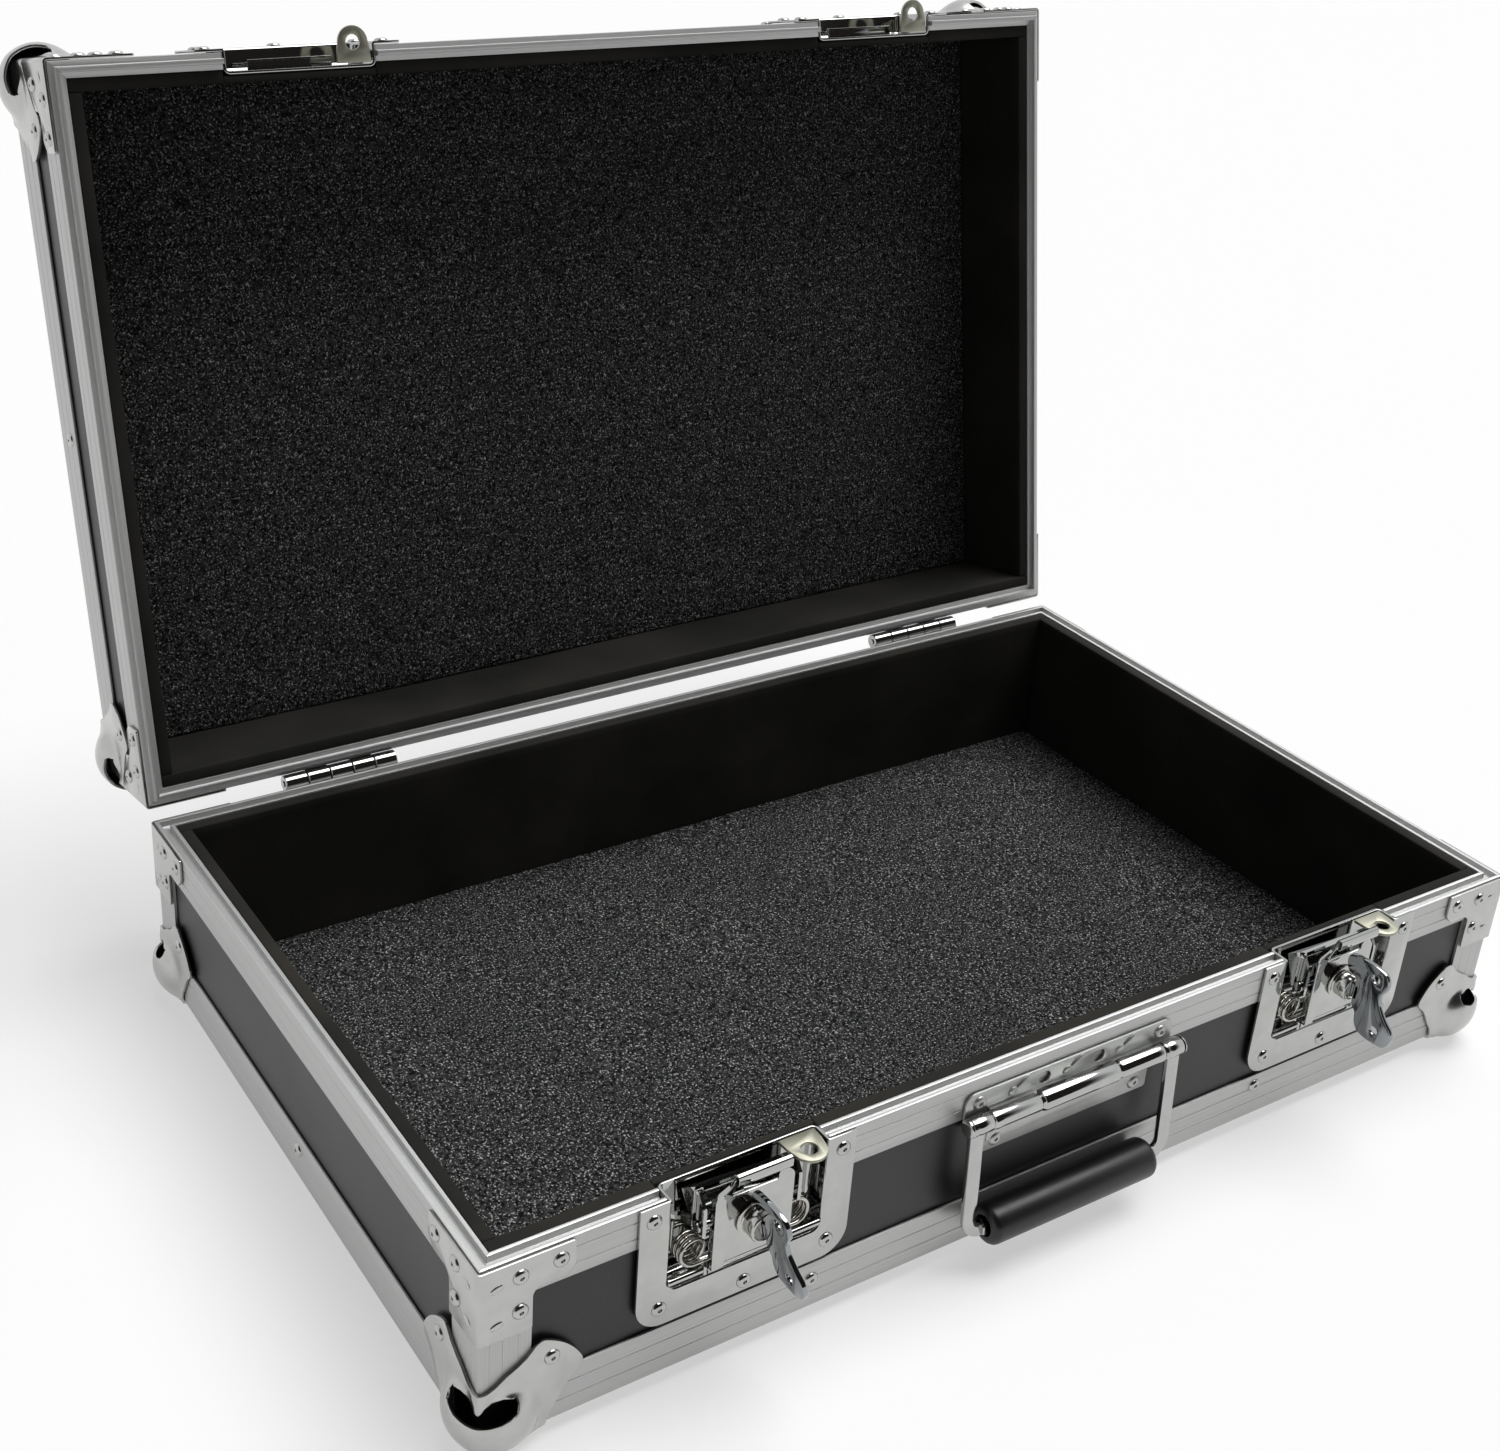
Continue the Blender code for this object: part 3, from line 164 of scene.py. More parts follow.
def makeFelt():
    # Needled polyester felt in charcoal: near-black fibres with pale flecks about 1 mm long
    material, tree, shader = newMaterial("needledFelt", {"Roughness": 0.95, "Specular IOR Level": 0.08})
    tuft = objectNoise(tree, 560, 5)
    fleck = objectNoise(tree, 1150, 3, (1, 0.8, 1))
    base = ramp(tree, tuft.outputs["Fac"], 0.4, 0.64, (linear("#0f1010"), linear("#3c3d3c")))
    pale = ramp(tree, fleck.outputs["Fac"], 0.57, 0.7, ((0, 0, 0, 1), (1, 1, 1, 1)))
    mixed = addNode(
        tree, "ShaderNodeMix", {"data_type": "RGBA", "blend_type": "MIX"},
        {"Factor": pale.outputs["Color"]},
    )
    tree.links.new(base.outputs["Color"], mixed.inputs[6])
    mixed.inputs[7].default_value = linear("#b8b9b7")
    tree.links.new(mixed.outputs[2], shader.inputs["Base Color"])
    bumpInto(tree, shader, tuft.outputs["Fac"], 0.9, 0.0012)
    return material


def makeRubber():
    # Moulded rubber sleeve: black, smooth, with the faint bloom of the mould
    material, tree, shader = newMaterial("mouldedRubber", {"Base Color": linear("#161617")})
    bloom = objectNoise(tree, 90, 4)
    rough = addNode(
        tree, "ShaderNodeMapRange", {"To Min": 0.3, "To Max": 0.48}, {"Value": bloom.outputs["Fac"]}
    )
    tree.links.new(rough.outputs["Result"], shader.inputs["Roughness"])
    bumpInto(tree, shader, objectNoise(tree, 1500, 2).outputs["Fac"], 0.15, 0.0001)
    return material


finishes = {
    "laminate": (makeLaminate(), "black_laminate"),
    "aluminium": (makeAluminium(), "aluminium_extrusion"),
    "sheet": (makePlate("nickelPlatedSheetSteel", "#b3b3b1", "#bcbcba", 0.2, 0.26, 0.08), "bright_steel_sheet"),
    "satin": (makePlate("zincPlatedSheetSteel", "#adaeac", "#b6b7b5", 0.4, 0.46, 0.04), "bright_steel_sheet"),
    "chrome": (makePlate("chromedSteel", "#acadab", "#b4b5b3", 0.06, 0.09, 0.04), "bright_steel_sheet"),
    "nickel": (makePlate("nickelPlatedBrass", "#b2b1ac", "#bcbbb7", 0.1, 0.16, 0.05), "nickel_plate"),
    "ear": (makePlate("zincPlatedSteel", "#9b9a8c", "#a3a294", 0.42, 0.5, 0.04), "nickel_plate"),
    "key": (makePlate("nickelPlatedSteelKey", "#8f9295", "#9a9d9f", 0.07, 0.12, 0.03), "nickel_plate"),
    "spring": (makePlate("platedSpringWire", "#a8a5a0", "#c6c3bd", 0.14, 0.22, 0.0), "spring_steel"),
    "foam": (makeFoam(), "foam"),
    "felt": (makeFelt(), "carpet"),
    "rubber": (makeRubber(), "black_rubber"),
}
print("materials:", len(finishes))

# Frames and finishing


def axes(origin, x, y, z):
    # Local millimetres to the frame's metres
    columns = Matrix((Vector(x), Vector(y), Vector(z))).transposed() * millimetre
    return Matrix.Translation(Vector(origin) * millimetre) @ columns.to_4x4()


def faceFrame(half, face, position):
    # Local X along the wall, local Y from the half's outer side to its rim (0 at the rim), local Z outward
    length, width = case["halfLength"], case["halfWidth"]
    rim, up = case["rim"][half], (0, 0, case["up"][half])
    if face in endSigns:
        sign = endSigns[face]
        return axes((position, sign * width, rim), (1, 0, 0), up, (0, sign, 0))
    sign = sideSigns[face]
    return axes((sign * length, position, rim), (0, 1, 0), up, (sign, 0, 0))


def cornerFrame(half, side, end, level):
    # Local X, Y and Z run inward from the corner's three planes; level is "outer" or "rim"
    along, across = sideSigns[side], endSigns[end]
    up = case["up"][half] * (1 if level == "outer" else -1)
    origin = (along * case["halfLength"], across * case["halfWidth"], case[level][half])
    return axes(origin, (-along, 0, 0), (0, -across, 0), (0, 0, up))


def lidTurn():
    hinge = Vector(case["hinge"]) * millimetre
    turn = Matrix.Rotation(math.radians(-case["lidAngle"]), 4, "X")
    return Matrix.Translation(hinge) @ turn @ Matrix.Translation(-hinge)


lidOpen = lidTurn()


flatFaces = {"area": 1.2e-6, "bend": 21.5, "level": 0.3}


def place(bm, frameMatrix, body):
    bm.transform(lidOpen @ frameMatrix if body == "lid" else frameMatrix)


def shadeFaces(bm, keepFlat):
    # Round shapes are shaded smooth; a face that is truly flat stays flat, so that no false shade crosses it
    bm.normal_update()
    for face in bm.faces:
        face.smooth = True
        if keepFlat and face.calc_area() > flatFaces["area"]:
            bends = [math.degrees(edge.calc_face_angle(0)) for edge in face.edges if len(edge.link_faces) == 2]
            alone = bends and min(bends) > flatFaces["bend"]
            beside = bends and min(bends) < flatFaces["level"]
            face.smooth = not (len(face.verts) > 4 or alone or beside)


def finish(name, bm, look, body, nodes=(), smoothAngle=35, recalculate=True):
    if recalculate:
        bm.normal_update()
        bmesh.ops.recalc_face_normals(bm, faces=bm.faces)
    shadeFaces(bm, look not in ("foam", "felt"))
    mesh = bpy.data.meshes.new(name)
    bm.to_mesh(mesh)
    bm.free()
    mesh.set_sharp_from_angle(angle=math.radians(smoothAngle))
    piece = bpy.data.objects.new(name, mesh)
    bpy.context.scene.collection.objects.link(piece)
    material, slotName = finishes[look]
    mesh.materials.append(material)
    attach(piece, body)
    if nodes:
        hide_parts(*nodes)
    return piece


def copyInto(bm, source, matrix):
    # Adds a copy of another bmesh, placed by the matrix
    mesh = bpy.data.meshes.new("copy")
    source.to_mesh(mesh)
    before = set(bm.verts)
    bm.from_mesh(mesh)
    bpy.data.meshes.remove(mesh)
    bmesh.ops.transform(bm, matrix=matrix, verts=[v for v in bm.verts if v not in before])


def arcPoints(centre, radius, start, end, steps):
    angles = [math.radians(start + (end - start) * step / steps) for step in range(steps + 1)]
    return [(centre[0] + radius * math.cos(a), centre[1] + radius * math.sin(a)) for a in angles]


def flatFace(bm, outline, holes=()):
    # An outline of (x, y) or (x, y, corner radius), with round holes of (x, y, radius)
    corners = [bm.verts.new((point[0], point[1], 0)) for point in outline]
    face = bm.faces.new(corners)
    radii = sorted({point[2] for point in outline if len(point) > 2 and point[2]})
    rounded = {radius: [v for v, p in zip(corners, outline) if len(p) > 2 and p[2] == radius] for radius in radii}
    for radius in radii:
        bmesh.ops.bevel(
            bm, geom=rounded[radius], offset=radius, offset_type="OFFSET", segments=8, profile=0.5,
            affect="VERTICES", material=-1,
        )
    if holes:
        face = bm.faces[:][-1] if not face.is_valid else face
        edges = list(face.edges)
        bmesh.ops.delete(bm, geom=[face], context="FACES_ONLY")
        for x, y, radius in holes:
            ring = bmesh.ops.create_circle(
                bm, cap_ends=False, segments=20, radius=radius, matrix=Matrix.Translation((x, y, 0))
            )
            edges += list({edge for vert in ring["verts"] for edge in vert.link_edges})
        bmesh.ops.triangle_fill(bm, use_beauty=True, use_dissolve=True, edges=edges)


def softenEdges(bm, width, segments=2, angle=50, keep=None):
    edges = [
        edge for edge in bm.edges
        if len(edge.link_faces) == 2 and edge.calc_face_angle(0) > math.radians(angle)
        and (keep is None or keep(edge))
    ]
    if edges:
        bmesh.ops.bevel(
            bm, geom=edges, offset=width, offset_type="OFFSET", segments=segments, profile=0.5,
            affect="EDGES", material=-1, clamp_overlap=True,
        )


def pressedPlate(outline, low, high, edge=0.25, holes=()):
    # A flat plate from low to high along local Z, with softened edges
    bm = bmesh.new()
    flatFace(bm, outline, holes)
    bmesh.ops.translate(bm, verts=bm.verts, vec=(0, 0, low))
    grown = bmesh.ops.extrude_face_region(bm, geom=bm.faces[:])
    tops = [item for item in grown["geom"] if isinstance(item, bmesh.types.BMVert)]
    bmesh.ops.translate(bm, verts=tops, vec=(0, 0, high - low))
    if edge:
        softenEdges(bm, edge)
    return bm


def block(bm, low, high, edge=0.0, matrix=Matrix()):
    low, high = Vector(low), Vector(high)
    part = bmesh.new()
    bmesh.ops.create_cube(
        part, size=1, matrix=Matrix.Translation((low + high) / 2) @ Matrix.Diagonal((*(high - low), 1))
    )
    if edge:
        softenEdges(part, edge)
    copyInto(bm, part, matrix)
    part.free()


def turned(profile, steps=24, closed=False):
    # A profile of (radius, height) spun round local Z
    bm = bmesh.new()
    verts = [bm.verts.new((radius, 0, height)) for radius, height in profile]
    edges = [bm.edges.new(pair) for pair in zip(verts, verts[1:])]
    if closed:
        edges.append(bm.edges.new((verts[-1], verts[0])))
    bmesh.ops.spin(
        bm, geom=verts + edges, cent=(0, 0, 0), axis=(0, 0, 1), angle=math.radians(360), steps=steps,
        use_merge=True,
    )
    bmesh.ops.remove_doubles(bm, verts=bm.verts, dist=0.001)
    bm.normal_update()
    bmesh.ops.recalc_face_normals(bm, faces=bm.faces)
    return bm


alongX = Matrix.Rotation(math.radians(90), 4, "Y")  # local Z of a turned shape to the case's length

# Pop rivets: a low dome with the small dark well that the broken mandrel leaves
popRivet = turned(
    ((0, 0.55), (0.75, 0.55), (0.95, 1.15), (1.5, 1.3), (2.3, 1.12), (2.95, 0.7), (3.3, 0.1), (3.3, -0.4), (0, -0.4)),
    18,
)


def addRivets(bm, places, height, matrix=Matrix()):
    for x, y in places:
        copyInto(bm, popRivet, matrix @ Matrix.Translation((x, y, height)))


# Aluminium rails

rails = {
    "rimFlange": 18.4, "innerFlange": 12, "wall": 1.2, "innerWall": 1.0, "innerEdge": 7.3, "lip": 1.7,
    "valley": 3.0, "tongue": 2.6, "tongueGap": 0.8, "edging": 22.5, "post": 21, "groove": 0.24,
    "rimGrooves": (5.6, 13.1), "edgingGrooves": (7.4, 15.0), "postGrooves": (4.2, 9.4, 15.6), "mitreGap": 0.08,
    "edge": 0.28, "edgingEnd": 21, "postGroove": 0.12,
}


def grooved(start, end, inset, grooves, depth):
    # Points down a face with fine grooves pressed into it; each groove is at a distance from the start
    points = [(inset, start)]
    sign = 1 if end > start else -1
    for distance in grooves:
        centre = start + sign * distance
        points += [
            (inset, centre - sign * depth), (inset + depth, centre - sign * depth * 0.35),
            (inset + depth, centre + sign * depth * 0.35), (inset, centre + sign * depth),
        ]
    return points + [(inset, end)]


def rimProfile(tongue):
    r = rails
    inner, wall = r["innerEdge"], r["wall"]
    web = r["valley"] + wall
    if tongue:
        start, end = r["lip"] + r["tongueGap"], inner - r["lip"] - r["tongueGap"]
        face = [(start, 0), (start, -r["tongue"]), (end, -r["tongue"]), (end, 0)]
    else:
        end = inner - r["lip"]
        face = [(r["lip"], 0), (r["lip"], r["valley"]), (end, r["valley"]), (end, 0)]
    flange = r["rimFlange"]
    return [
        *grooved(flange, 0, 0, [flange - g for g in reversed(r["rimGrooves"])], r["groove"]), *face, (inner, 0),
        (inner, r["innerFlange"]), (inner - r["innerWall"], r["innerFlange"]), (inner - r["innerWall"], web),
        (wall, web), (wall, flange),
    ]


def edgingProfile(height):
    r = rails
    width, wall = r["edging"], r["wall"]
    outer = grooved(height - width, height, 0, [width - g for g in reversed(r["edgingGrooves"])], r["groove"])
    under = [(inset, height - drop) for drop, inset in grooved(0, width, 0, r["edgingGrooves"], r["groove"])]
    return [*outer, *under[1:], (width, height - wall), (wall, height - wall), (wall, height - width)]


def railBar(profile, start, end, mitreStart, mitreEnd, edge):
    # A bar of (inset, drop) along local X, with its die lines in the UV; local Y is the inset, local Z the drop
    bm = bmesh.new()
    face = bm.faces.new([bm.verts.new((start, inset, drop)) for inset, drop in profile])
    grown = bmesh.ops.extrude_face_region(bm, geom=[face])
    ends = [item for item in grown["geom"] if isinstance(item, bmesh.types.BMVert)]
    bmesh.ops.translate(bm, verts=ends, vec=(end - start, 0, 0))
    if edge:
        lengths = [e for e in bm.edges if abs(e.verts[0].co.x - e.verts[1].co.x) > 1]
        sharp = [e for e in lengths if e.calc_face_angle(0) > math.radians(70)]
        bmesh.ops.bevel(
            bm, geom=sharp, offset=edge, offset_type="OFFSET", segments=2, profile=0.5, affect="EDGES",
            material=-1, clamp_overlap=True,
        )
    for vert in bm.verts:
        if mitreStart and abs(vert.co.x - start) < 0.01:
            vert.co.x += vert.co.y + rails["mitreGap"]
        elif mitreEnd and abs(vert.co.x - end) < 0.01:
            vert.co.x -= vert.co.y + rails["mitreGap"]
    layer = bm.loops.layers.uv.new("railLines")
    for polygon in bm.faces:
        for loop in polygon.loops:
            loop[layer].uv = (loop.vert.co.x, loop.vert.co.y + loop.vert.co.z)
    return bm


def wallFrame(half, face):
    # Local X along the wall, local Y inward, local Z the drop from the rim
    length, width = case["halfLength"], case["halfWidth"]
    down = (0, 0, -case["up"][half])
    if face in endSigns:
        sign = endSigns[face]
        return axes((0, sign * width, case["rim"][half]), (1, 0, 0), (0, -sign, 0), down)
    sign = sideSigns[face]
    return axes((sign * length, 0, case["rim"][half]), (0, 1, 0), (-sign, 0, 0), down)


def ringOfBars(half, profile, edge, frontCuts=(), short=0):
    # Four mitred bars round the case, or bars that stop short of the corners; frontCuts stay open
    whole = bmesh.new()
    for face in ("front", "rear", "left", "right"):
        reach = (case["halfLength"] if face in endSigns else case["halfWidth"]) - short
        spans = [(-reach, reach)]
        if face == "front" and frontCuts:
            marks = [-reach, *[x for cut in frontCuts for x in cut], reach]
            spans = list(zip(marks[::2], marks[1::2]))
        for start, end in spans:
            bar = railBar(profile, start, end, start == -reach and not short, end == reach and not short, edge)
            copyInto(whole, bar, wallFrame(half, face))
            bar.free()
    return whole


pocketHalf = 36.0
dishCuts = ((-case["dish"] - pocketHalf, -case["dish"] + pocketHalf), (case["dish"] - pocketHalf, case["dish"] + pocketHalf))


def buildRails():
    for half in halfNames:
        ring = ringOfBars(half, rimProfile(half == "lid"), rails["edge"], dishCuts)
        place(ring, Matrix(), half)
        finish(f"{half}_rim_rails", ring, "aluminium", half, (f"{half}_rim_frame", f"{half}_rim_front_middle"))
        ring = ringOfBars(half, edgingProfile(case["height"][half]), rails["edge"], (), rails["edgingEnd"])
        posts = bmesh.new()
        top, bottom = rails["rimFlange"] + 0.3, case["height"][half] - (22.8 if half == "base" else 1.5)
        outline = grooved(rails["post"], 0, 0, [rails["post"] - g for g in reversed(rails["postGrooves"])], rails["postGroove"])
        outline = [(y, x) for y, x in outline][:-1]
        for side in sideSigns:
            for end in endSigns:
                post = bmesh.new()
                wall, wide = rails["wall"], rails["post"]
                angle = [*[(y, x) for x, y in outline], (0, 0), *[(x, y) for x, y in reversed(outline)]]
                angle += [(wall, wide), (wall, wall), (wide, wall)]
                corner = [post.verts.new((x, y, top)) for x, y in angle]
                face = post.faces.new(corner)
                grown = bmesh.ops.extrude_face_region(post, geom=[face])
                low = [item for item in grown["geom"] if isinstance(item, bmesh.types.BMVert)]
                bmesh.ops.translate(post, verts=low, vec=(0, 0, bottom - top))
                fold = [
                    e for e in post.edges
                    if all(abs(v.co.x) < 0.01 and abs(v.co.y) < 0.01 for v in e.verts)
                ]
                bmesh.ops.bevel(
                    post, geom=fold, offset=1.4, offset_type="OFFSET", segments=4, profile=0.5, affect="EDGES",
                    material=-1,
                )
                layer = post.loops.layers.uv.new("railLines")
                for polygon in post.faces:
                    for loop in polygon.loops:
                        loop[layer].uv = (loop.vert.co.z, loop.vert.co.x + loop.vert.co.y)
                copyInto(posts, post, cornerFrame(half, side, end, "rim"))
                post.free()
        if half == "lid":
            copyInto(ring, posts, Matrix())
            posts.free()
            place(ring, Matrix(), half)
            finish("lid_edging_rails", ring, "aluminium", half, ("lid_edging",))
        else:
            names = [f"base_corner_post_{end}_{side}" for end in endSigns for side in sideSigns]
            finish("base_corner_posts", posts, "aluminium", half, names)
            finish("base_edging_rails", ring, "aluminium", half, ("base_bottom_edging",))
    print("rails: rims, edging and posts")


buildRails()

# Corner braces

brace = {
    "arm": 37.5, "armDepth": 15.5, "leg": 20.5, "fillet": 4, "fold": 2.0, "edge": 0.22, "topGap": 0.5,
    "rivets": {
        "base": ((15.5, 7.8), (31.5, 7.0), (15.5, 23.8)),
        "lid": ((15.5, 7.8), (31.5, 7.0), (9.3, 21.7)),
    },
    "leaves": {"base": (9.5, 26.5), "lid": (9.5,)}, "leafSize": (3.0, 1.5, 0.55), "leafPlace": 6.2,
}


def braceShape(half):
    b = brace
    out, fold = case["sheetOut"], b["fold"]
    axis = fold - out
    leg = 34 if half == "base" else case["height"]["lid"] - 26.1
    legEnd = leg if half == "base" else leg - 12.5
    top = b["topGap"]
    outline = [
        (axis, top), (b["arm"], top, 1.0), (b["arm"], b["armDepth"] - b["fillet"], 1.5),
        (b["arm"] - b["fillet"], b["armDepth"], 1.5), (b["leg"], b["armDepth"], b["fillet"]),
        (b["leg"], legEnd, 1.2), (axis, leg),
    ]
    bm = bmesh.new()
    flatFace(bm, outline)
    for vert in bm.verts:  # the flat sheet stands on the front plane: local Z is the drop
        vert.co = (vert.co.x, -out, vert.co.y)
    edge = [e for e in bm.edges if all(abs(v.co.x - axis) < 0.01 for v in e.verts)]
    bmesh.ops.spin(
        bm, geom=edge, cent=(axis, axis, 0), axis=(0, 0, 1), angle=math.radians(-45), steps=4,
    )
    twin = bmesh.new()
    copyInto(twin, bm, Matrix(((0, 1, 0, 0), (1, 0, 0, 0), (0, 0, 1, 0), (0, 0, 0, 1))))
    copyInto(bm, twin, Matrix())
    twin.free()
    bmesh.ops.remove_doubles(bm, verts=bm.verts, dist=0.02)
    bmesh.ops.recalc_face_normals(bm, faces=bm.faces)
    outward = sum((f.normal * f.calc_area() for f in bm.faces), Vector())
    if outward.dot(Vector((-1, -1, 0))) < 0:
        bmesh.ops.reverse_faces(bm, faces=bm.faces)
    bmesh.ops.solidify(bm, geom=bm.faces[:], thickness=case["sheet"])
    softenEdges(bm, b["edge"])
    leaf = bmesh.new()
    bmesh.ops.create_uvsphere(leaf, u_segments=16, v_segments=8, radius=1)
    wide, tall, high = b["leafSize"]
    frontFace = Matrix(((1, 0, 0, 0), (0, 0, -1, -out), (0, 1, 0, 0), (0, 0, 0, 1)))  # X along, Z out of the front
    sideFace = Matrix(((0, 0, -1, -out), (1, 0, 0, 0), (0, 1, 0, 0), (0, 0, 0, 1)))
    for facing in (frontFace, sideFace):
        for drop in b["leaves"][half]:
            spot = Matrix.Translation((b["leafPlace"], drop, 0)) @ Matrix.Rotation(math.radians(-18), 4, "Z")
            copyInto(bm, leaf, facing @ spot @ Matrix.Diagonal((wide, tall, high, 1)))
        addRivets(bm, b["rivets"][half], 0, facing)
    leaf.free()
    return bm


def buildBraces():
    for half in halfNames:
        shape = braceShape(half)
        for side in sideSigns:
            for end in endSigns:
                bm = bmesh.new()
                copyInto(bm, shape, cornerFrame(half, side, end, "rim"))
                place(bm, Matrix(), half)
                node = f"{half}_corner_brace_{end}_{side}"
                finish(f"{node}_pressing", bm, "sheet", half, (node,))
        shape.free()
    print("corner braces: 8")


buildBraces()

# Ball corners

ball = {
    "radius": 18, "centre": 10, "blend": 2.2, "lobeCentre": 14.3, "lobeRadius": 29.8, "shoulder": (25.2, 37.3),
    "shoulderRadius": 4.4, "rivets": ((28.8, 32.6), (31, 31), (32.8, 28.6)), "fold": 2.0, "notch": 26.6,
    "edge": 0.3, "cell": 1.5, "cells": 19, "smallest": 0.4, "tip": 16.1, "slope": 0.4, "slitEnd": 12,
    "rise": (3.0, 12.0), "lift": (2.2, 3.0), "liftHeight": 9, "lipTip": 15.7, "lipSlope": 0.3, "eyeEnd": (10.6, 20.2), "eyeRound": 3.1,
    "eyeTurns": (-52, -22, 10),
}
cyclic = Matrix(((0, 0, 1, 0), (1, 0, 0, 0), (0, 1, 0, 0), (0, 0, 0, 1)))  # X to Y, Y to Z, Z to X


def cornerSheet():
    # The open sheet round the case's corner: one outline on each of three faces, joined by rounded folds
    b = ball
    out = case["sheetOut"]
    axis = b["fold"] - out
    rise = [(axis, b["notch"]), (3.2, b["notch"] + 0.4), (6.2, 28.3), (10.2, 31.3), (15.0, 33.9), (18.8, 36.6)]
    near, far = b["shoulder"]
    lobe = [
        *arcPoints((near, far), b["shoulderRadius"], 150, 70, 5),
        *arcPoints((b["lobeCentre"], b["lobeCentre"]), b["lobeRadius"], 63, 27, 9),
        *arcPoints((far, near), b["shoulderRadius"], 20, -60, 5),
    ]
    bm = bmesh.new()
    flatFace(bm, [(axis, axis), *rise, *lobe, *[(y, x) for x, y in reversed(rise)]])
    for vert in bm.verts:
        vert.co = (vert.co.x, -out, vert.co.y)
    upright = [e for e in bm.edges if all(abs(v.co.x - axis) < 0.01 for v in e.verts)]
    level = [e for e in bm.edges if all(abs(v.co.z - axis) < 0.01 for v in e.verts)]
    bmesh.ops.spin(bm, geom=upright, cent=(axis, axis, 0), axis=(0, 0, 1), angle=math.radians(-45), steps=4)
    bmesh.ops.spin(bm, geom=level, cent=(0, axis, axis), axis=(1, 0, 0), angle=math.radians(45), steps=4)
    one = bmesh.new()
    copyInto(one, bm, Matrix())
    for turn in (cyclic, cyclic @ cyclic):
        copyInto(bm, one, turn)
    one.free()
    bmesh.ops.remove_doubles(bm, verts=bm.verts, dist=0.03)
    gap = [e for e in bm.edges if e.is_boundary and all(max(v.co) < axis + 0.1 for v in e.verts)]
    cap = bmesh.ops.contextual_create(bm, geom=gap)["faces"]
    bmesh.ops.poke(bm, faces=cap)
    for place3 in range(3):
        for step in range(1, b["cells"]):
            normal = Vector((0, 0, 0))
            normal[place3] = 1
            bmesh.ops.bisect_plane(
                bm, geom=bm.verts[:] + bm.edges[:] + bm.faces[:], dist=0.02, plane_co=normal * step * b["cell"],
                plane_no=normal,
            )
    return bm


def aboveSlit(point):
    return point.z - ball["tip"] - ball["slope"] * (point.x + point.y)


def ballShell():
    # The drawn corner: the sheet is pressed out to a ball below a slit that leaves the post's tongue flat
    b = ball
    out = case["sheetOut"]
    bm = cornerSheet()
    normal = Vector((-b["slope"], -b["slope"], 1))
    near = [f for f in bm.faces if max(f.calc_center_median()[:2]) < b["slitEnd"] + b["cell"]]
    bmesh.ops.bisect_plane(
        bm, geom=near + list({e for f in near for e in f.edges}) + list({v for f in near for v in f.verts}),
        dist=0.02, plane_co=(0, 0, b["tip"]), plane_no=normal,
    )
    slit = [
        e for e in bm.edges
        if all(abs(aboveSlit(v.co)) < 0.05 and max(v.co.x, v.co.y) < b["slitEnd"] + 0.05 for v in e.verts)
    ]
    bmesh.ops.split_edges(bm, edges=slit)
    lower = bm.faces.layers.int.new("lower")
    for face in bm.faces:
        centre = face.calc_center_median()
        face[lower] = int(aboveSlit(centre) < 0 and centre.z > b["centre"] and max(centre.x, centre.y) < b["centre"] + 6)
    centre = Vector((b["centre"],) * 3)
    (flatTo, fullFrom) = b["rise"]
    moved = []
    tongue = [v for v in bm.verts if all(aboveSlit(f.calc_center_median()) > 0 for f in v.link_faces)]
    for vert in tongue:  # the tongue's lower edge is cut in two arcs that meet in a point
        t = min(1, max(0, (max(vert.co.x, vert.co.y) + out) / (b["slitEnd"] + out)))
        lift = b["lift"][0] * (1 - t) + b["lift"][1] * math.sin(math.pi * t)
        vert.co.z += lift * max(0, 1 - aboveSlit(vert.co) / b["liftHeight"])
    tongue = set(tongue)
    for vert in bm.verts:
        share = 1
        if vert in tongue:
            t = min(1, max(0, (max(vert.co.x, vert.co.y) - flatTo) / (fullFrom - flatTo)))
            share = t * t * (3 - 2 * t)
        ray = vert.co - centre
        far = ray.length
        drawn = (far + b["radius"] + math.hypot(far - b["radius"], b["blend"])) / 2
        moved.append(centre + ray * (1 + share * (drawn - far) / far))
    for vert, spot in zip(bm.verts, moved):
        vert.co = spot
    planes = [(Vector((0, 0, b["lipTip"])), Vector((b["lipSlope"], b["lipSlope"], -1)).normalized())]
    for other in (0, 1):
        for turn in b["eyeTurns"]:
            normal = Vector((0, 0, math.sin(math.radians(turn))))
            normal[other] = math.cos(math.radians(turn))
            point = Vector((0, 0, b["eyeEnd"][1]))
            point[other] = b["eyeEnd"][0]
            planes.append((point + normal * b["eyeRound"], normal))
    for point, normal in planes:
        near = [f for f in bm.faces if f[lower]]
        bmesh.ops.bisect_plane(
            bm, geom=near + list({e for f in near for e in f.edges}) + list({v for f in near for v in f.verts}),
            dist=0.02, plane_co=point, plane_no=normal,
        )
    eye = [
        f for f in bm.faces
        if f[lower] and all((f.calc_center_median() - point).dot(normal) < 0 for point, normal in planes)
    ]
    bmesh.ops.delete(bm, geom=eye, context="FACES")
    bmesh.ops.dissolve_degenerate(bm, dist=b["smallest"], edges=bm.edges[:])
    bmesh.ops.recalc_face_normals(bm, faces=bm.faces)
    outward = sum((f.normal * f.calc_area() for f in bm.faces), Vector())
    if outward.dot(Vector((-1, -1, -1))) < 0:
        bmesh.ops.reverse_faces(bm, faces=bm.faces)
    bmesh.ops.solidify(bm, geom=bm.faces[:], thickness=case["sheet"])
    softenEdges(bm, b["edge"], 2, 60)
    return bm


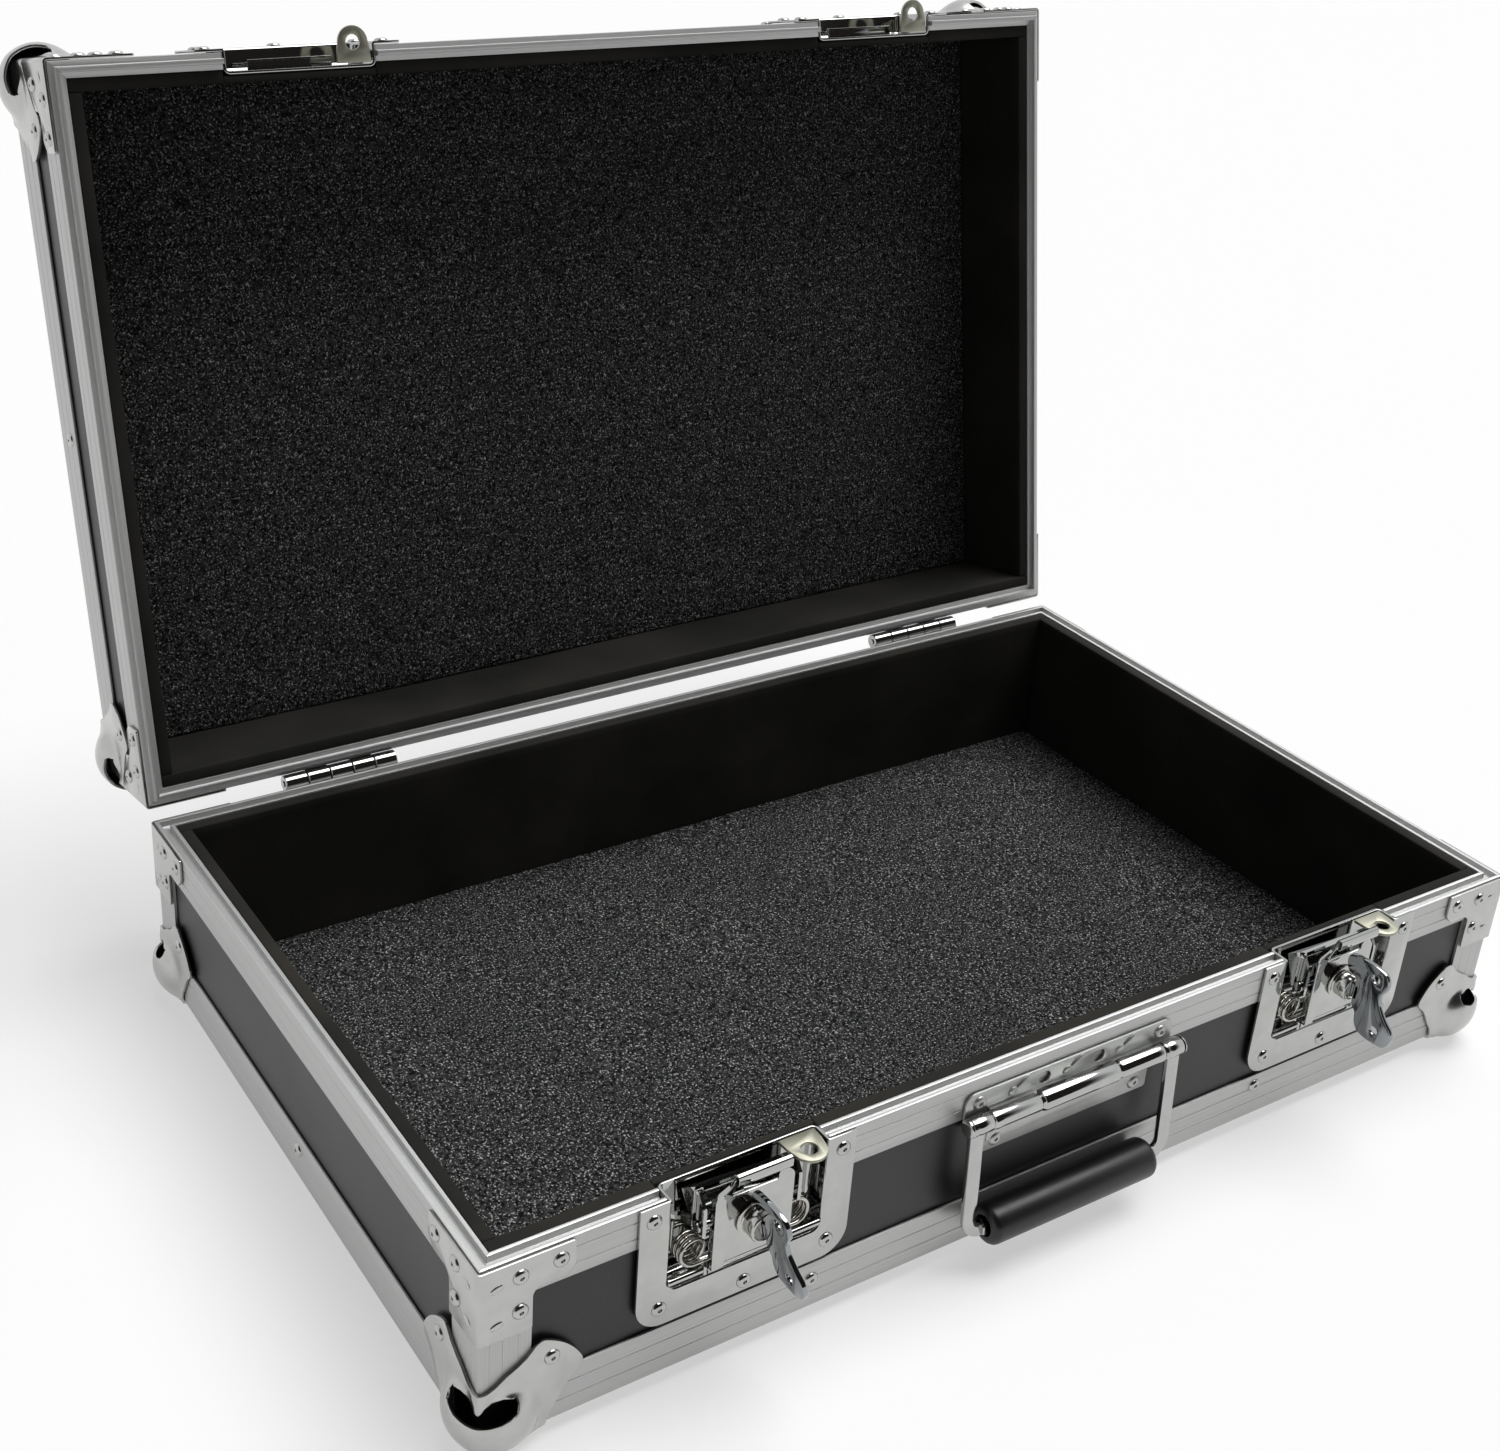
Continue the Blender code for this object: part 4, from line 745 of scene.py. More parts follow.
def buildBallCorners():
    shape = ballShell()
    out = case["sheetOut"]
    facing = Matrix(((1, 0, 0, 0), (0, 0, -1, -out), (0, 1, 0, 0), (0, 0, 0, 1)))
    for turn, spot in zip((Matrix(), cyclic, cyclic @ cyclic), ball["rivets"]):
        addRivets(shape, (spot,), 0, turn @ facing)
    for half in halfNames:
        for side in sideSigns:
            for end in endSigns:
                bm = bmesh.new()
                copyInto(bm, shape, cornerFrame(half, side, end, "outer"))
                place(bm, Matrix(), half)
                node = f"{half}_ball_corner_{end}_{side}"
                finish(f"{node}_pressing", bm, "sheet", half, (node,))
    shape.free()
    print("ball corners: 8")


buildBallCorners()

# Linings

lining = {
    "foamOuter": 7.6, "foamInner": 13.2, "pocketInset": 9.9, "top": 0.4, "ripple": 0.35,
    "feltInset": 13.4, "feltStart": {"base": 4.8, "lid": 4.8}, "feltThickness": 3.7, "feltWave": 0.35,
}


def rippled(bm, cell, amount, size, axis, seed):
    # Splits long edges and moves the surface a little, as glued soft sheet does
    longest = max((max(e.calc_length() for e in bm.edges), cell))
    for _ in range(int(math.ceil(math.log2(longest / cell)))):
        edges = [e for e in bm.edges if e.calc_length() > cell]
        bmesh.ops.subdivide_edges(bm, edges=edges, cuts=1, use_grid_fill=True)
    for vert in bm.verts:
        shift = noise.noise((vert.co + Vector((seed, 0, 0))) / size)
        vert.co[axis] += shift * amount


def buildLinings():
    for half in halfNames:
        panel = 6.3
        bottom = case["height"][half] - panel
        whole = bmesh.new()
        for number, face in enumerate(("front", "rear", "left", "right")):
            reach = case["halfLength"] if face in endSigns else case["halfWidth"]
            marks = [-reach + lining["foamOuter"], reach - lining["foamOuter"]]
            if face in sideSigns:
                marks = [-reach + lining["foamInner"] + 0.05, reach - lining["foamInner"] - 0.05]
            spans = [(marks[0], marks[1], lining["foamOuter"])]
            if face == "front":
                points = [marks[0], *[x for cut in dishCuts for x in cut], marks[1]]
                spans = [
                    (a, b, lining["foamOuter"] if index % 2 == 0 else lining["pocketInset"])
                    for index, (a, b) in enumerate(zip(points, points[1:]))
                ]
            for start, end, outer in spans:
                strip = bmesh.new()
                block(strip, (start, outer, lining["top"]), (end, lining["foamInner"], bottom))
                rippled(strip, 9, 0, 30, 1, number)
                inner = [v for v in strip.verts if v.co.y > lining["foamInner"] - 0.01]
                for vert in inner:
                    wave = noise.noise(Vector((vert.co.x / 34, vert.co.z / 15, number * 7.3)))
                    vert.co.y += wave * lining["ripple"] * min(1, vert.co.z / 6)
                softenEdges(strip, 0.7, 2, 60)
                copyInto(whole, strip, wallFrame(half, face))
                strip.free()
        place(whole, Matrix(), half)
        foam = finish(f"{half}_foam_lining", whole, "foam", half, (f"{half}_wall_foam",), 50)
        felt = bmesh.new()
        length = case["halfLength"] - lining["feltInset"]
        width = case["halfWidth"] - lining["feltInset"]
        start = lining["feltStart"][half] + case["outer"]["base"]
        block(felt, (-length, -width, 0), (length, width, lining["feltThickness"]))
        rippled(felt, 12, 0, 30, 2, 0)
        for vert in felt.verts:
            if vert.co.z > 0.1:
                vert.co.z += noise.noise(Vector((vert.co.x / 46, vert.co.y / 46, 3.1))) * lining["feltWave"]
        softenEdges(felt, 0.9, 3, 60)
        up = case["up"][half]
        outer = case["outer"][half] + up * 6.3
        felted = bmesh.new()
        copyInto(felted, felt, axes((0, 0, outer), (1, 0, 0), (0, 1, 0), (0, 0, up)))
        felt.free()
        place(felted, Matrix(), half)
        node = "base_floor_carpet" if half == "base" else "lid_top_carpet"
        pad = finish(f"{half}_felt_pad", felted, "felt", half, (node,), 50)
    print("linings: foam walls and felt pads")


buildLinings()

# Laminate panels keep their CAD solids

for node in ("base_floor_panel", "base_wall_panels", "lid_top_panel", "lid_wall_panels"):
    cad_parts[node].data.materials.clear()
    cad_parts[node].data.materials.append(finishes["laminate"][0])

# Latch dishes

dish = {
    "half": 48, "corner": 12, "pocket": 34.5, "pocketCorner": 4, "depth": 8.2, "drawn": 1.3, "floorRadius": 1.7,
    "height": {"base": 58.9, "lid": 36.5}, "window": {"base": 43.4, "lid": 24}, "edge": 0.22,
    "rimRivet": (42, -6.9), "lowRivet": (38, 8.4), "middleRivet": 4.9, "strikeHalf": 20, "strikeDrop": 13,
    "strikeDepth": 4.5,
}


def drawnPan(half):
    # The flange and its pocket are one open sheet, rounded where it was drawn, then given its thickness
    d = dish
    height, window = d["height"][half], d["window"][half]
    wide, inner, out = d["half"], d["pocket"], case["sheetOut"]
    bm = bmesh.new()
    flatFace(bm, [
        (-wide, 0), (-wide, -height, d["corner"]), (wide, -height, d["corner"]), (wide, 0), (inner, 0),
        (inner, -window, d["pocketCorner"]), (-inner, -window, d["pocketCorner"]), (-inner, 0),
    ])
    bmesh.ops.translate(bm, verts=bm.verts, vec=(0, 0, out))
    mouth = [
        e for e in bm.edges
        if all(abs(v.co.x) < inner + 0.01 and v.co.y > -window - 0.01 for v in e.verts)
    ]
    grown = bmesh.ops.extrude_edge_only(bm, edges=mouth)["geom"]
    low = [item for item in grown if isinstance(item, bmesh.types.BMVert)]
    bmesh.ops.translate(bm, verts=low, vec=(0, 0, -out - d["depth"]))
    floorEdges = [
        item for item in grown if isinstance(item, bmesh.types.BMEdge) and all(v in low for v in item.verts)
    ]
    ends = [v for v in low if abs(v.co.y) < 0.01]
    closing = bm.edges.new(ends)
    bmesh.ops.contextual_create(bm, geom=floorEdges + [closing])
    bmesh.ops.bevel(
        bm, geom=floorEdges, offset=d["floorRadius"], offset_type="OFFSET", segments=4, profile=0.5,
        affect="EDGES", material=-1,
    )
    drawn = [
        e for e in bm.edges
        if len(e.link_faces) == 2 and all(abs(v.co.z - out) < 0.01 for v in e.verts)
        and e.calc_face_angle(0) > math.radians(50)
    ]
    bmesh.ops.bevel(
        bm, geom=drawn, offset=d["drawn"], offset_type="OFFSET", segments=4, profile=0.5, affect="EDGES",
        material=-1,
    )
    bmesh.ops.recalc_face_normals(bm, faces=bm.faces)
    if max(bm.faces, key=lambda f: f.calc_area()).normal.z < 0:
        bmesh.ops.reverse_faces(bm, faces=bm.faces)
    bmesh.ops.solidify(bm, geom=bm.faces[:], thickness=case["sheet"])
    softenEdges(bm, d["edge"])
    (x, drop), (lowX, lowRow) = d["rimRivet"], d["lowRivet"]
    places = [(-x, drop), (x, drop), (-lowX, lowRow - height), (lowX, lowRow - height), (0, d["middleRivet"] - height)]
    addRivets(bm, places, out)
    return bm


def rod(bm, start, end, radius, steps=18, edge=0.25):
    # A round bar between two points, its ends chamfered
    start, end = Vector(start), Vector(end)
    length = (end - start).length
    bar = turned(
        ((0, 0), (radius - edge, 0), (radius, edge), (radius, length - edge), (radius - edge, length), (0, length)),
        steps,
    )
    turn = (end - start).to_track_quat("Z", "Y").to_matrix().to_4x4()
    copyInto(bm, bar, Matrix.Translation(start) @ turn)
    bar.free()


def buildDishes():
    d = dish
    for half in halfNames:
        pan = drawnPan(half)
        if half == "base":
            for sign in (-1, 1):
                low, high = sorted((sign * 17.8, sign * 19.3))
                block(pan, (low, -42.4, -d["depth"]), (high, -38.4, 2.2), 0.3)
            rod(pan, (-34.4, -40.4, 0.5), (34.4, -40.4, 0.5), 1.5)
        else:
            low, high = -d["depth"], d["strikeDepth"] - d["depth"]
            block(pan, (-20, -14.2, low), (20, -13.0, high), 0.3)
            block(pan, (-20, -17.5, high - 1.2), (20, -13.0, high), 0.35)
        for side, sign in sideSigns.items():
            bm = bmesh.new()
            copyInto(bm, pan, faceFrame(half, "front", sign * case["dish"]))
            place(bm, Matrix(), half)
            node = f"{half}_latch_dish_{side}"
            finish(f"{node}_pressing", bm, "chrome", half, (node,))
        pan.free()
    print("latch dishes: 4")


buildDishes()

# Padlock ears

ear = {
    "offset": 25.5, "root": 8.2, "rootOut": -7.4, "waist": -1.5, "round": 7.2, "reach": 1.6, "thickness": 1.5,
    "hole": 3.4, "edge": 0.35,
}


def buildEars():
    e = ear
    outline = [
        (-e["root"], e["rootOut"]), (e["root"], e["rootOut"]), (e["root"] - 0.3, e["waist"]),
        *arcPoints((0, e["reach"]), e["round"], 8, 172, 18), (0.3 - e["root"], e["waist"]),
    ]
    for half in halfNames:
        for side, sign in sideSigns.items():
            tab = pressedPlate(outline, 0, e["thickness"], e["edge"], ((0, e["reach"], e["hole"]),))
            bm = bmesh.new()
            # local Y of the tab points out of the front face, its thickness away from the rim
            lie = Matrix(((1, 0, 0, e["offset"]), (0, 0, -1, 0), (0, 1, 0, 0), (0, 0, 0, 1)))
            copyInto(bm, tab, faceFrame(half, "front", sign * case["dish"]) @ lie)
            tab.free()
            place(bm, Matrix(), half)
            node = f"{half}_latch_ear_{side}"
            finish(f"{node}_tab", bm, "ear", half, (node,))
    print("padlock ears: 4")


buildEars()

# Latches

latch = {
    "clawHalf": 22, "clawSheet": 1.5, "clawBack": -3.1, "clawFront": 3.5, "clawHead": -2.4, "clawFoot": -22.4,
    "clawBackFoot": -19.4, "clawFold": 1.9, "clawHook": 1.9,
    "leverHalf": 17.5, "leverFront": 4.5, "leverFoot": -36.4, "tabEnd": -39.1, "tabInner": 12.5, "bend": -4.0,
    "lean": 0.373, "slot": (10.2, -6.2, 0.6), "tongueHalf": 12, "tongueTop": 6.4, "shoulder": -5.5, "sideDepth": 3.1,
    "pivot": (-40.4, 0.5), "clawPin": (-18.4, 0.5), "lock": -19.9,
    "springWire": 1.7, "springRadius": 5.45, "springTurns": 3.25, "springPitch": 2.3, "springX": 23.2,
    "springY": -30.9, "springArm": 12.5,
}


def clawShape():
    c = latch
    wide, back, front = c["clawHalf"], c["clawBack"], c["clawFront"]
    head, foot, backFoot = c["clawHead"], c["clawFoot"], c["clawBackFoot"]
    bm = bmesh.new()
    flatFace(bm, [(-wide, backFoot), (wide, backFoot), (wide, head), (-wide, head)])
    bmesh.ops.translate(bm, verts=bm.verts, vec=(0, 0, back))
    for sign in (-1, 1):
        side = bmesh.new()
        flatFace(side, [
            (back, foot), (front, foot, 1.0), (front, -9.4, 1.0), (0, head - 1.6), (back, head), (back, backFoot),
        ])
        for vert in side.verts:  # (out, up) to the plane of the claw's side
            vert.co = (sign * wide, vert.co.y, vert.co.x)
        copyInto(bm, side, Matrix())
        side.free()
    bmesh.ops.remove_doubles(bm, verts=bm.verts, dist=0.01)
    top = [e for e in bm.edges if all(abs(v.co.y - head) < 0.01 and abs(v.co.z - back) < 0.01 for v in e.verts)]
    grown = bmesh.ops.extrude_edge_only(bm, edges=top)["geom"]
    lip = [item for item in grown if isinstance(item, bmesh.types.BMVert)]
    for vert in lip:
        vert.co.z += c["clawHook"]
        vert.co.x *= (wide - 2.2) / wide
        vert.co.y += 0.3
    folds = [
        e for e in bm.edges
        if len(e.link_faces) == 2 and e.calc_face_angle(0) > math.radians(50)
    ]
    bmesh.ops.bevel(
        bm, geom=folds, offset=c["clawFold"] * 0.6, offset_type="OFFSET", segments=4, profile=0.5, affect="EDGES",
        material=-1, clamp_overlap=True,
    )
    bmesh.ops.recalc_face_normals(bm, faces=bm.faces)
    if max(bm.faces, key=lambda f: f.calc_area()).normal.z > 0:
        bmesh.ops.reverse_faces(bm, faces=bm.faces)
    bmesh.ops.solidify(bm, geom=bm.faces[:], thickness=c["clawSheet"])
    softenEdges(bm, 0.3)
    return bm


def leverShape():
    c = latch
    wide, neck, top = c["leverHalf"], c["tongueHalf"], c["tongueTop"]
    inner, foot, end = c["tabInner"], c["leverFoot"], c["tabEnd"]
    bm = bmesh.new()
    flatFace(bm, [
        (-wide, end), (-inner, end), (-inner, foot, 1.0), (inner, foot, 1.0), (inner, end), (wide, end),
        (wide, c["shoulder"], 1.5), (neck, 0.2, 1.5), (neck, top), (-neck, top), (-neck, 0.2, 1.5),
        (-wide, c["shoulder"], 1.5),
    ])
    slotHalf, slotLow, slotHigh = c["slot"]
    for point, normal in (
        ((0, c["bend"], 0), (0, 1, 0)), ((0, slotLow, 0), (0, 1, 0)), ((0, slotHigh, 0), (0, 1, 0)),
        ((slotHalf, 0, 0), (1, 0, 0)), ((-slotHalf, 0, 0), (1, 0, 0)),
    ):
        bmesh.ops.bisect_plane(
            bm, geom=bm.verts[:] + bm.edges[:] + bm.faces[:], plane_co=point, plane_no=normal
        )
    slot = [
        f for f in bm.faces
        if abs(f.calc_center_median().x) < slotHalf and slotLow < f.calc_center_median().y < slotHigh
    ]
    bmesh.ops.delete(bm, geom=slot, context="FACES")
    for vert in bm.verts:
        vert.co.z = c["leverFront"] + max(0, vert.co.y - c["bend"]) * c["lean"]
    sides = [
        e for e in bm.edges
        if e.is_boundary and all(abs(abs(v.co.x) - wide) < 0.01 for v in e.verts)
    ]
    grown = bmesh.ops.extrude_edge_only(bm, edges=sides)["geom"]
    bmesh.ops.translate(
        bm, verts=[item for item in grown if isinstance(item, bmesh.types.BMVert)], vec=(0, 0, -c["sideDepth"])
    )
    folds = [e for e in bm.edges if len(e.link_faces) == 2 and e.calc_face_angle(0) > math.radians(60)]
    bmesh.ops.bevel(
        bm, geom=folds, offset=0.9, offset_type="OFFSET", segments=3, profile=0.5, affect="EDGES", material=-1,
        clamp_overlap=True,
    )
    bmesh.ops.recalc_face_normals(bm, faces=bm.faces)
    if max(bm.faces, key=lambda f: f.calc_area()).normal.z < 0:
        bmesh.ops.reverse_faces(bm, faces=bm.faces)
    bmesh.ops.solidify(bm, geom=bm.faces[:], thickness=1.2)
    softenEdges(bm, 0.25)
    # the tongue's tip is hemmed: the sheet turns forward and down, and ends above a dark slot
    hem = [
        (2.4, 8.2), (2.5, 9.3), (3.8, 10.2), (6.2, 10.3), (7.4, 9.6), (7.6, 8.4), (7.0, 7.3), (6.2, 7.0),
        (5.6, 8.0), (4.2, 8.5), (3.2, 8.2),
    ]
    tip = bmesh.new()
    face = tip.faces.new([tip.verts.new((-neck, y, z)) for y, z in hem])
    wing = bmesh.ops.extrude_face_region(tip, geom=[face])["geom"]
    bmesh.ops.translate(
        tip, verts=[item for item in wing if isinstance(item, bmesh.types.BMVert)], vec=(2 * neck, 0, 0)
    )
    softenEdges(tip, 0.12, 1, 60)
    copyInto(bm, tip, Matrix())
    tip.free()
    (pivotY, pivotZ), (pinY, pinZ) = c["pivot"], c["clawPin"]
    for sign in (-1, 1):
        low, high = sorted((sign * inner, sign * wide))
        block(bm, (low, -39.5, pivotZ + 1.2), (high, -38.0, c["leverFront"] - 0.6), 0.4)
        rod(bm, (low, pivotY, pivotZ), (high, pivotY, pivotZ), 2.4)
        low, high = sorted((sign * 15.5, sign * 17.2))
        block(bm, (low, pinY - 2.2, -1.2), (high, pinY + 2.2, 4.0), 0.4)
        rod(bm, (sign * 22.2, pinY, pinZ), (sign * 23.1, pinY, pinZ), 2.3)
    rod(bm, (-22.3, pinY, pinZ), (22.3, pinY, pinZ), 1.5)
    return bm


def barrelShape():
    # A turned barrel with a ring flange, and a plug whose face has the keyway
    y = latch["lock"]
    bm = bmesh.new()
    shell = turned((
        (4.9, 3.2), (4.9, 4.7), (7.7, 4.7), (8.0, 5.0), (8.0, 5.5), (7.6, 5.8), (6.6, 5.9), (6.25, 6.3), (6.25, 11.8),
        (5.9, 12.3), (5.3, 12.5), (4.9, 12.3), (4.8, 11.9),
    ), 40)
    copyInto(bm, shell, Matrix.Translation((0, y, 0)))
    shell.free()
    plug = bmesh.new()
    slotX, slotY = 1.4, 3.8
    ring = bmesh.ops.create_circle(plug, cap_ends=False, segments=40, radius=4.85)["verts"]
    corners = [plug.verts.new((x, z, 0)) for x, z in ((-slotX, -slotY), (slotX, -slotY), (slotX, slotY), (-slotX, slotY))]
    edges = list({e for v in ring for e in v.link_edges})
    walls = [plug.edges.new((a, b)) for a, b in zip(corners, corners[1:] + corners[:1])]
    bmesh.ops.triangle_fill(plug, use_beauty=True, use_dissolve=True, edges=edges + walls)
    grown = bmesh.ops.extrude_edge_only(plug, edges=walls)["geom"]
    deep = [item for item in grown if isinstance(item, bmesh.types.BMVert)]
    bmesh.ops.translate(plug, verts=deep, vec=(0, 0, -6))
    bmesh.ops.contextual_create(
        plug, geom=[i for i in grown if isinstance(i, bmesh.types.BMEdge) and all(v in deep for v in i.verts)]
    )
    copyInto(bm, plug, Matrix.Translation((0, y, 12.0)))
    plug.free()
    return bm


key = {
    "front": 13.4, "length": 23.2, "height": 36.5, "thickness": 1.1, "hole": 2.1,
    "bowShares": (
        (0.00, 0.66), (-0.22, 0.74), (-0.28, 0.90), (-0.10, 0.99), (0.40, 1.00), (0.66, 0.95), (0.72, 0.80),
        (0.62, 0.66), (0.64, 0.52), (0.80, 0.38), (1.00, 0.26), (1.00, 0.10), (0.82, 0.00), (0.34, 0.00),
        (0.16, 0.10), (0.12, 0.24), (0.00, 0.34),
    ),
    "holeShares": ((0.42, 0.83), (0.62, 0.16)), "turn": {"left": 10, "right": 0},
}


def smoothLoop(points, steps):
    # A closed curve through the points
    result = []
    count = len(points)
    for index in range(count):
        a, b, c, d = (Vector(points[(index + shift) % count]) for shift in (-1, 0, 1, 2))
        for step in range(steps):
            t = step / steps
            result.append(
                0.5 * (2 * b + (c - a) * t + (2 * a - 5 * b + 4 * c - d) * t ** 2 + (3 * b - a - 3 * c + d) * t ** 3)
            )
    return result


def keyShape():
    # The bow is drawn in (out, up) and stands in the plane across the case
    k = key
    low = latch["lock"] - k["height"] / 2
    place2d = [(k["front"] + k["length"] * out, low + k["height"] * up) for out, up in k["bowShares"]]
    holes = [(k["front"] + k["length"] * o, low + k["height"] * u, k["hole"]) for o, u in k["holeShares"]]
    bow = pressedPlate([tuple(p) for p in smoothLoop(place2d, 4)], -k["thickness"], k["thickness"], 0.45, holes)
    y = latch["lock"]
    block(bow, (6.9, y - 3.5, -k["thickness"]), (15.6, y + 3.5, k["thickness"]), 0.3)
    for step in range(4):
        block(bow, (7.4 + step * 1.5, y + 3.2, -0.5), (8.2 + step * 1.5, y + 3.75, 0.5))
    bm = bmesh.new()
    copyInto(bm, bow, Matrix(((0, 0, 1, 0), (0, 1, 0, 0), (1, 0, 0, 0), (0, 0, 0, 1))))
    bow.free()
    return bm


def springCurve(side, frameMatrix):
    c = latch
    rear = dish["depth"] - 0.3 - c["springWire"] / 2
    start = rear - c["springPitch"] * c["springTurns"]
    x, y, radius = c["springX"], c["springY"], c["springRadius"]
    points = [Vector((x + radius, y + height, -rear)) for height in (c["springArm"], c["springWire"])]
    steps = 78
    for step in range(steps + 1):
        turn = -2 * math.pi * c["springTurns"] * step / steps
        depth = rear + (start - rear) * step / steps
        points.append(Vector((x + radius * math.cos(turn), y + radius * math.sin(turn), -depth)))
    points += [Vector((-p.x, p.y, p.z)) for p in reversed(points)]
    curve = bpy.data.curves.new(f"spring_{side}", "CURVE")
    curve.dimensions = "3D"
    curve.bevel_depth = c["springWire"] / 2 * millimetre
    curve.bevel_resolution = 4
    curve.use_fill_caps = True
    spline = curve.splines.new("POLY")
    spline.points.add(len(points) - 1)
    for target, point in zip(spline.points, points):
        target.co = (*(frameMatrix @ point), 1)
    piece = bpy.data.objects.new(f"latch_spring_{side}_wire", curve)
    bpy.context.scene.collection.objects.link(piece)
    material, slotName = finishes["spring"]
    curve.materials.append(material)
    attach(piece, "base")
    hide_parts(f"latch_spring_{side}")


def buildLatches():
    claw, lever, barrel, bow = clawShape(), leverShape(), barrelShape(), keyShape()
    y = latch["lock"]
    for side, sign in sideSigns.items():
        frameMatrix = faceFrame("base", "front", sign * case["dish"])
        turnKey = Matrix.Translation((0, y, 0)) @ Matrix.Rotation(math.radians(key["turn"][side]), 4, "Z")
        turnKey = turnKey @ Matrix.Translation((0, -y, 0))
        springCurve(side, frameMatrix)
        for shape, kind, look, matrix, node in (
            (claw, "claw", "chrome", frameMatrix, f"latch_claw_{side}"),
            (lever, "lever", "chrome", frameMatrix, f"latch_lever_{side}"),
            (barrel, "barrel", "nickel", frameMatrix @ turnKey, f"lock_barrel_{side}"),
            (bow, "key", "key", frameMatrix @ turnKey, f"lock_key_{side}"),
        ):
            bm = bmesh.new()
            copyInto(bm, shape, matrix)
            finish(f"{node}_shape", bm, look, f"{kind}_{side}", (node,))
    for shape in (claw, lever, barrel, bow):
        shape.free()
    print("latches: claws, levers, locks, keys and springs")


buildLatches()

# Handle

handle = {
    "wide": 56, "narrow": 45.5, "top": -6.1, "step": -24.5, "bottom": -38.4, "corner": 5, "rivet": (49, -11.3),
    "lowRivet": (38, -33.5), "hole": (14.8, -11.3, 3.0), "pivot": (-17.9, 6.2), "knuckle": 4.0, "sleeve": 4.6,
    "sleeveHalf": 20, "tubeHalf": 46.4, "eye": (46.7, 57), "cap": (57.3, 58.8), "commas": (-29, 0, 29), "lean": -3.7,
    "band": 7, "thick": 1.3, "length": 52.5, "bailCorner": 10.5, "gripHalf": 45, "gripRadius": 9, "bore": 4.2,
}


def buildHandlePlate():
    h = handle
    wide, narrow, out = h["wide"], h["narrow"], case["sheetOut"]
    half = [(narrow, h["bottom"], 1.5), (narrow, h["step"] - 2.0, 2.0), (wide, h["step"], 2.0), (wide, h["top"], h["corner"])]
    outline = half + [(-p[0], *p[1:]) for p in reversed(half)]
    holeX, holeY, holeR = h["hole"]
    bm = pressedPlate(outline, 0.3, out, 0.25, [(sign * holeX, holeY, holeR) for sign in (-1, 1)])
    layer = [(-43, -27), (43, -27), (43, -32.6), (24, -33.4), (21.5, -32.4), (-4, -33.7), (-7, -32.9), (-18, -33.8), (-43, -33.2)]
    flap = pressedPlate(layer, out - 0.2, out + 0.45, 0.15)
    copyInto(bm, flap, Matrix())
    flap.free()
    y, z = h["pivot"]
    block(bm, (-44.6, y - 2.9, out - 0.6), (44.6, y + 2.9, z), 0.5)
    barrel = bmesh.new()
    tube = turned((
        (0, -46.4), (3.3, -46.4), (3.9, -45.9), (4.15, -44.6), (4.0, -42), (4.0, -22.5), (3.75, -21.8), (3.3, -21.2),
        (3.75, -20.6), (4.3, -20.2), (4.6, -19.2), (4.6, 19.2), (4.3, 20.2), (3.75, 20.6), (3.3, 21.2), (3.75, 21.8),
        (4.0, 22.5), (4.0, 42), (4.15, 44.6), (3.9, 45.9), (3.3, 46.4), (0, 46.4),
    ), 32)
    copyInto(barrel, tube, Matrix.Translation((0, y, z)) @ alongX)
    tube.free()
    rod(barrel, (-58, y, z), (58, y, z), 1.6)
    cap = turned(((0, 1.5), (2.4, 1.45), (3.4, 1.15), (3.95, 0.6), (4.0, 0), (0, 0)), 28)
    for sign in (-1, 1):
        turn = alongX if sign > 0 else Matrix.Rotation(math.radians(-90), 4, "Y")
        copyInto(barrel, cap, Matrix.Translation((sign * 57.3, y, z)) @ turn)
    cap.free()
    # pressed commas: a bulb at the lower left that runs into a thin ridge
    drop = bmesh.new()
    bmesh.ops.create_uvsphere(drop, u_segments=20, v_segments=10, radius=1)
    for x in h["commas"]:
        spot = Matrix.Translation((x, -10.2, out - 0.1))
        ridge = Matrix.Translation((1.9, 1.0, 0)) @ Matrix.Rotation(math.radians(36), 4, "Z")
        copyInto(bm, drop, spot @ ridge @ Matrix.Diagonal((4.6, 1.0, 1.0, 1)))
        bulb = Matrix.Translation((-2.6, -1.8, 0)) @ Matrix.Rotation(math.radians(15), 4, "Z")
        copyInto(bm, drop, spot @ bulb @ Matrix.Diagonal((2.7, 1.9, 0.9, 1)))
    drop.free()
    (x, rivetY), (lowX, lowY) = h["rivet"], h["lowRivet"]
    addRivets(bm, ((-x, rivetY), (x, rivetY)), out)
    addRivets(bm, ((-lowX, lowY), (lowX, lowY)), out, Matrix())
    for shape, name, look in ((bm, "handle_plate_pressing", "satin"), (barrel, "handle_plate_tube", "chrome")):
        whole = bmesh.new()
        copyInto(whole, shape, faceFrame("base", "front", 0))
        shape.free()
        finish(name, whole, look, "base", ("handle_plate",))


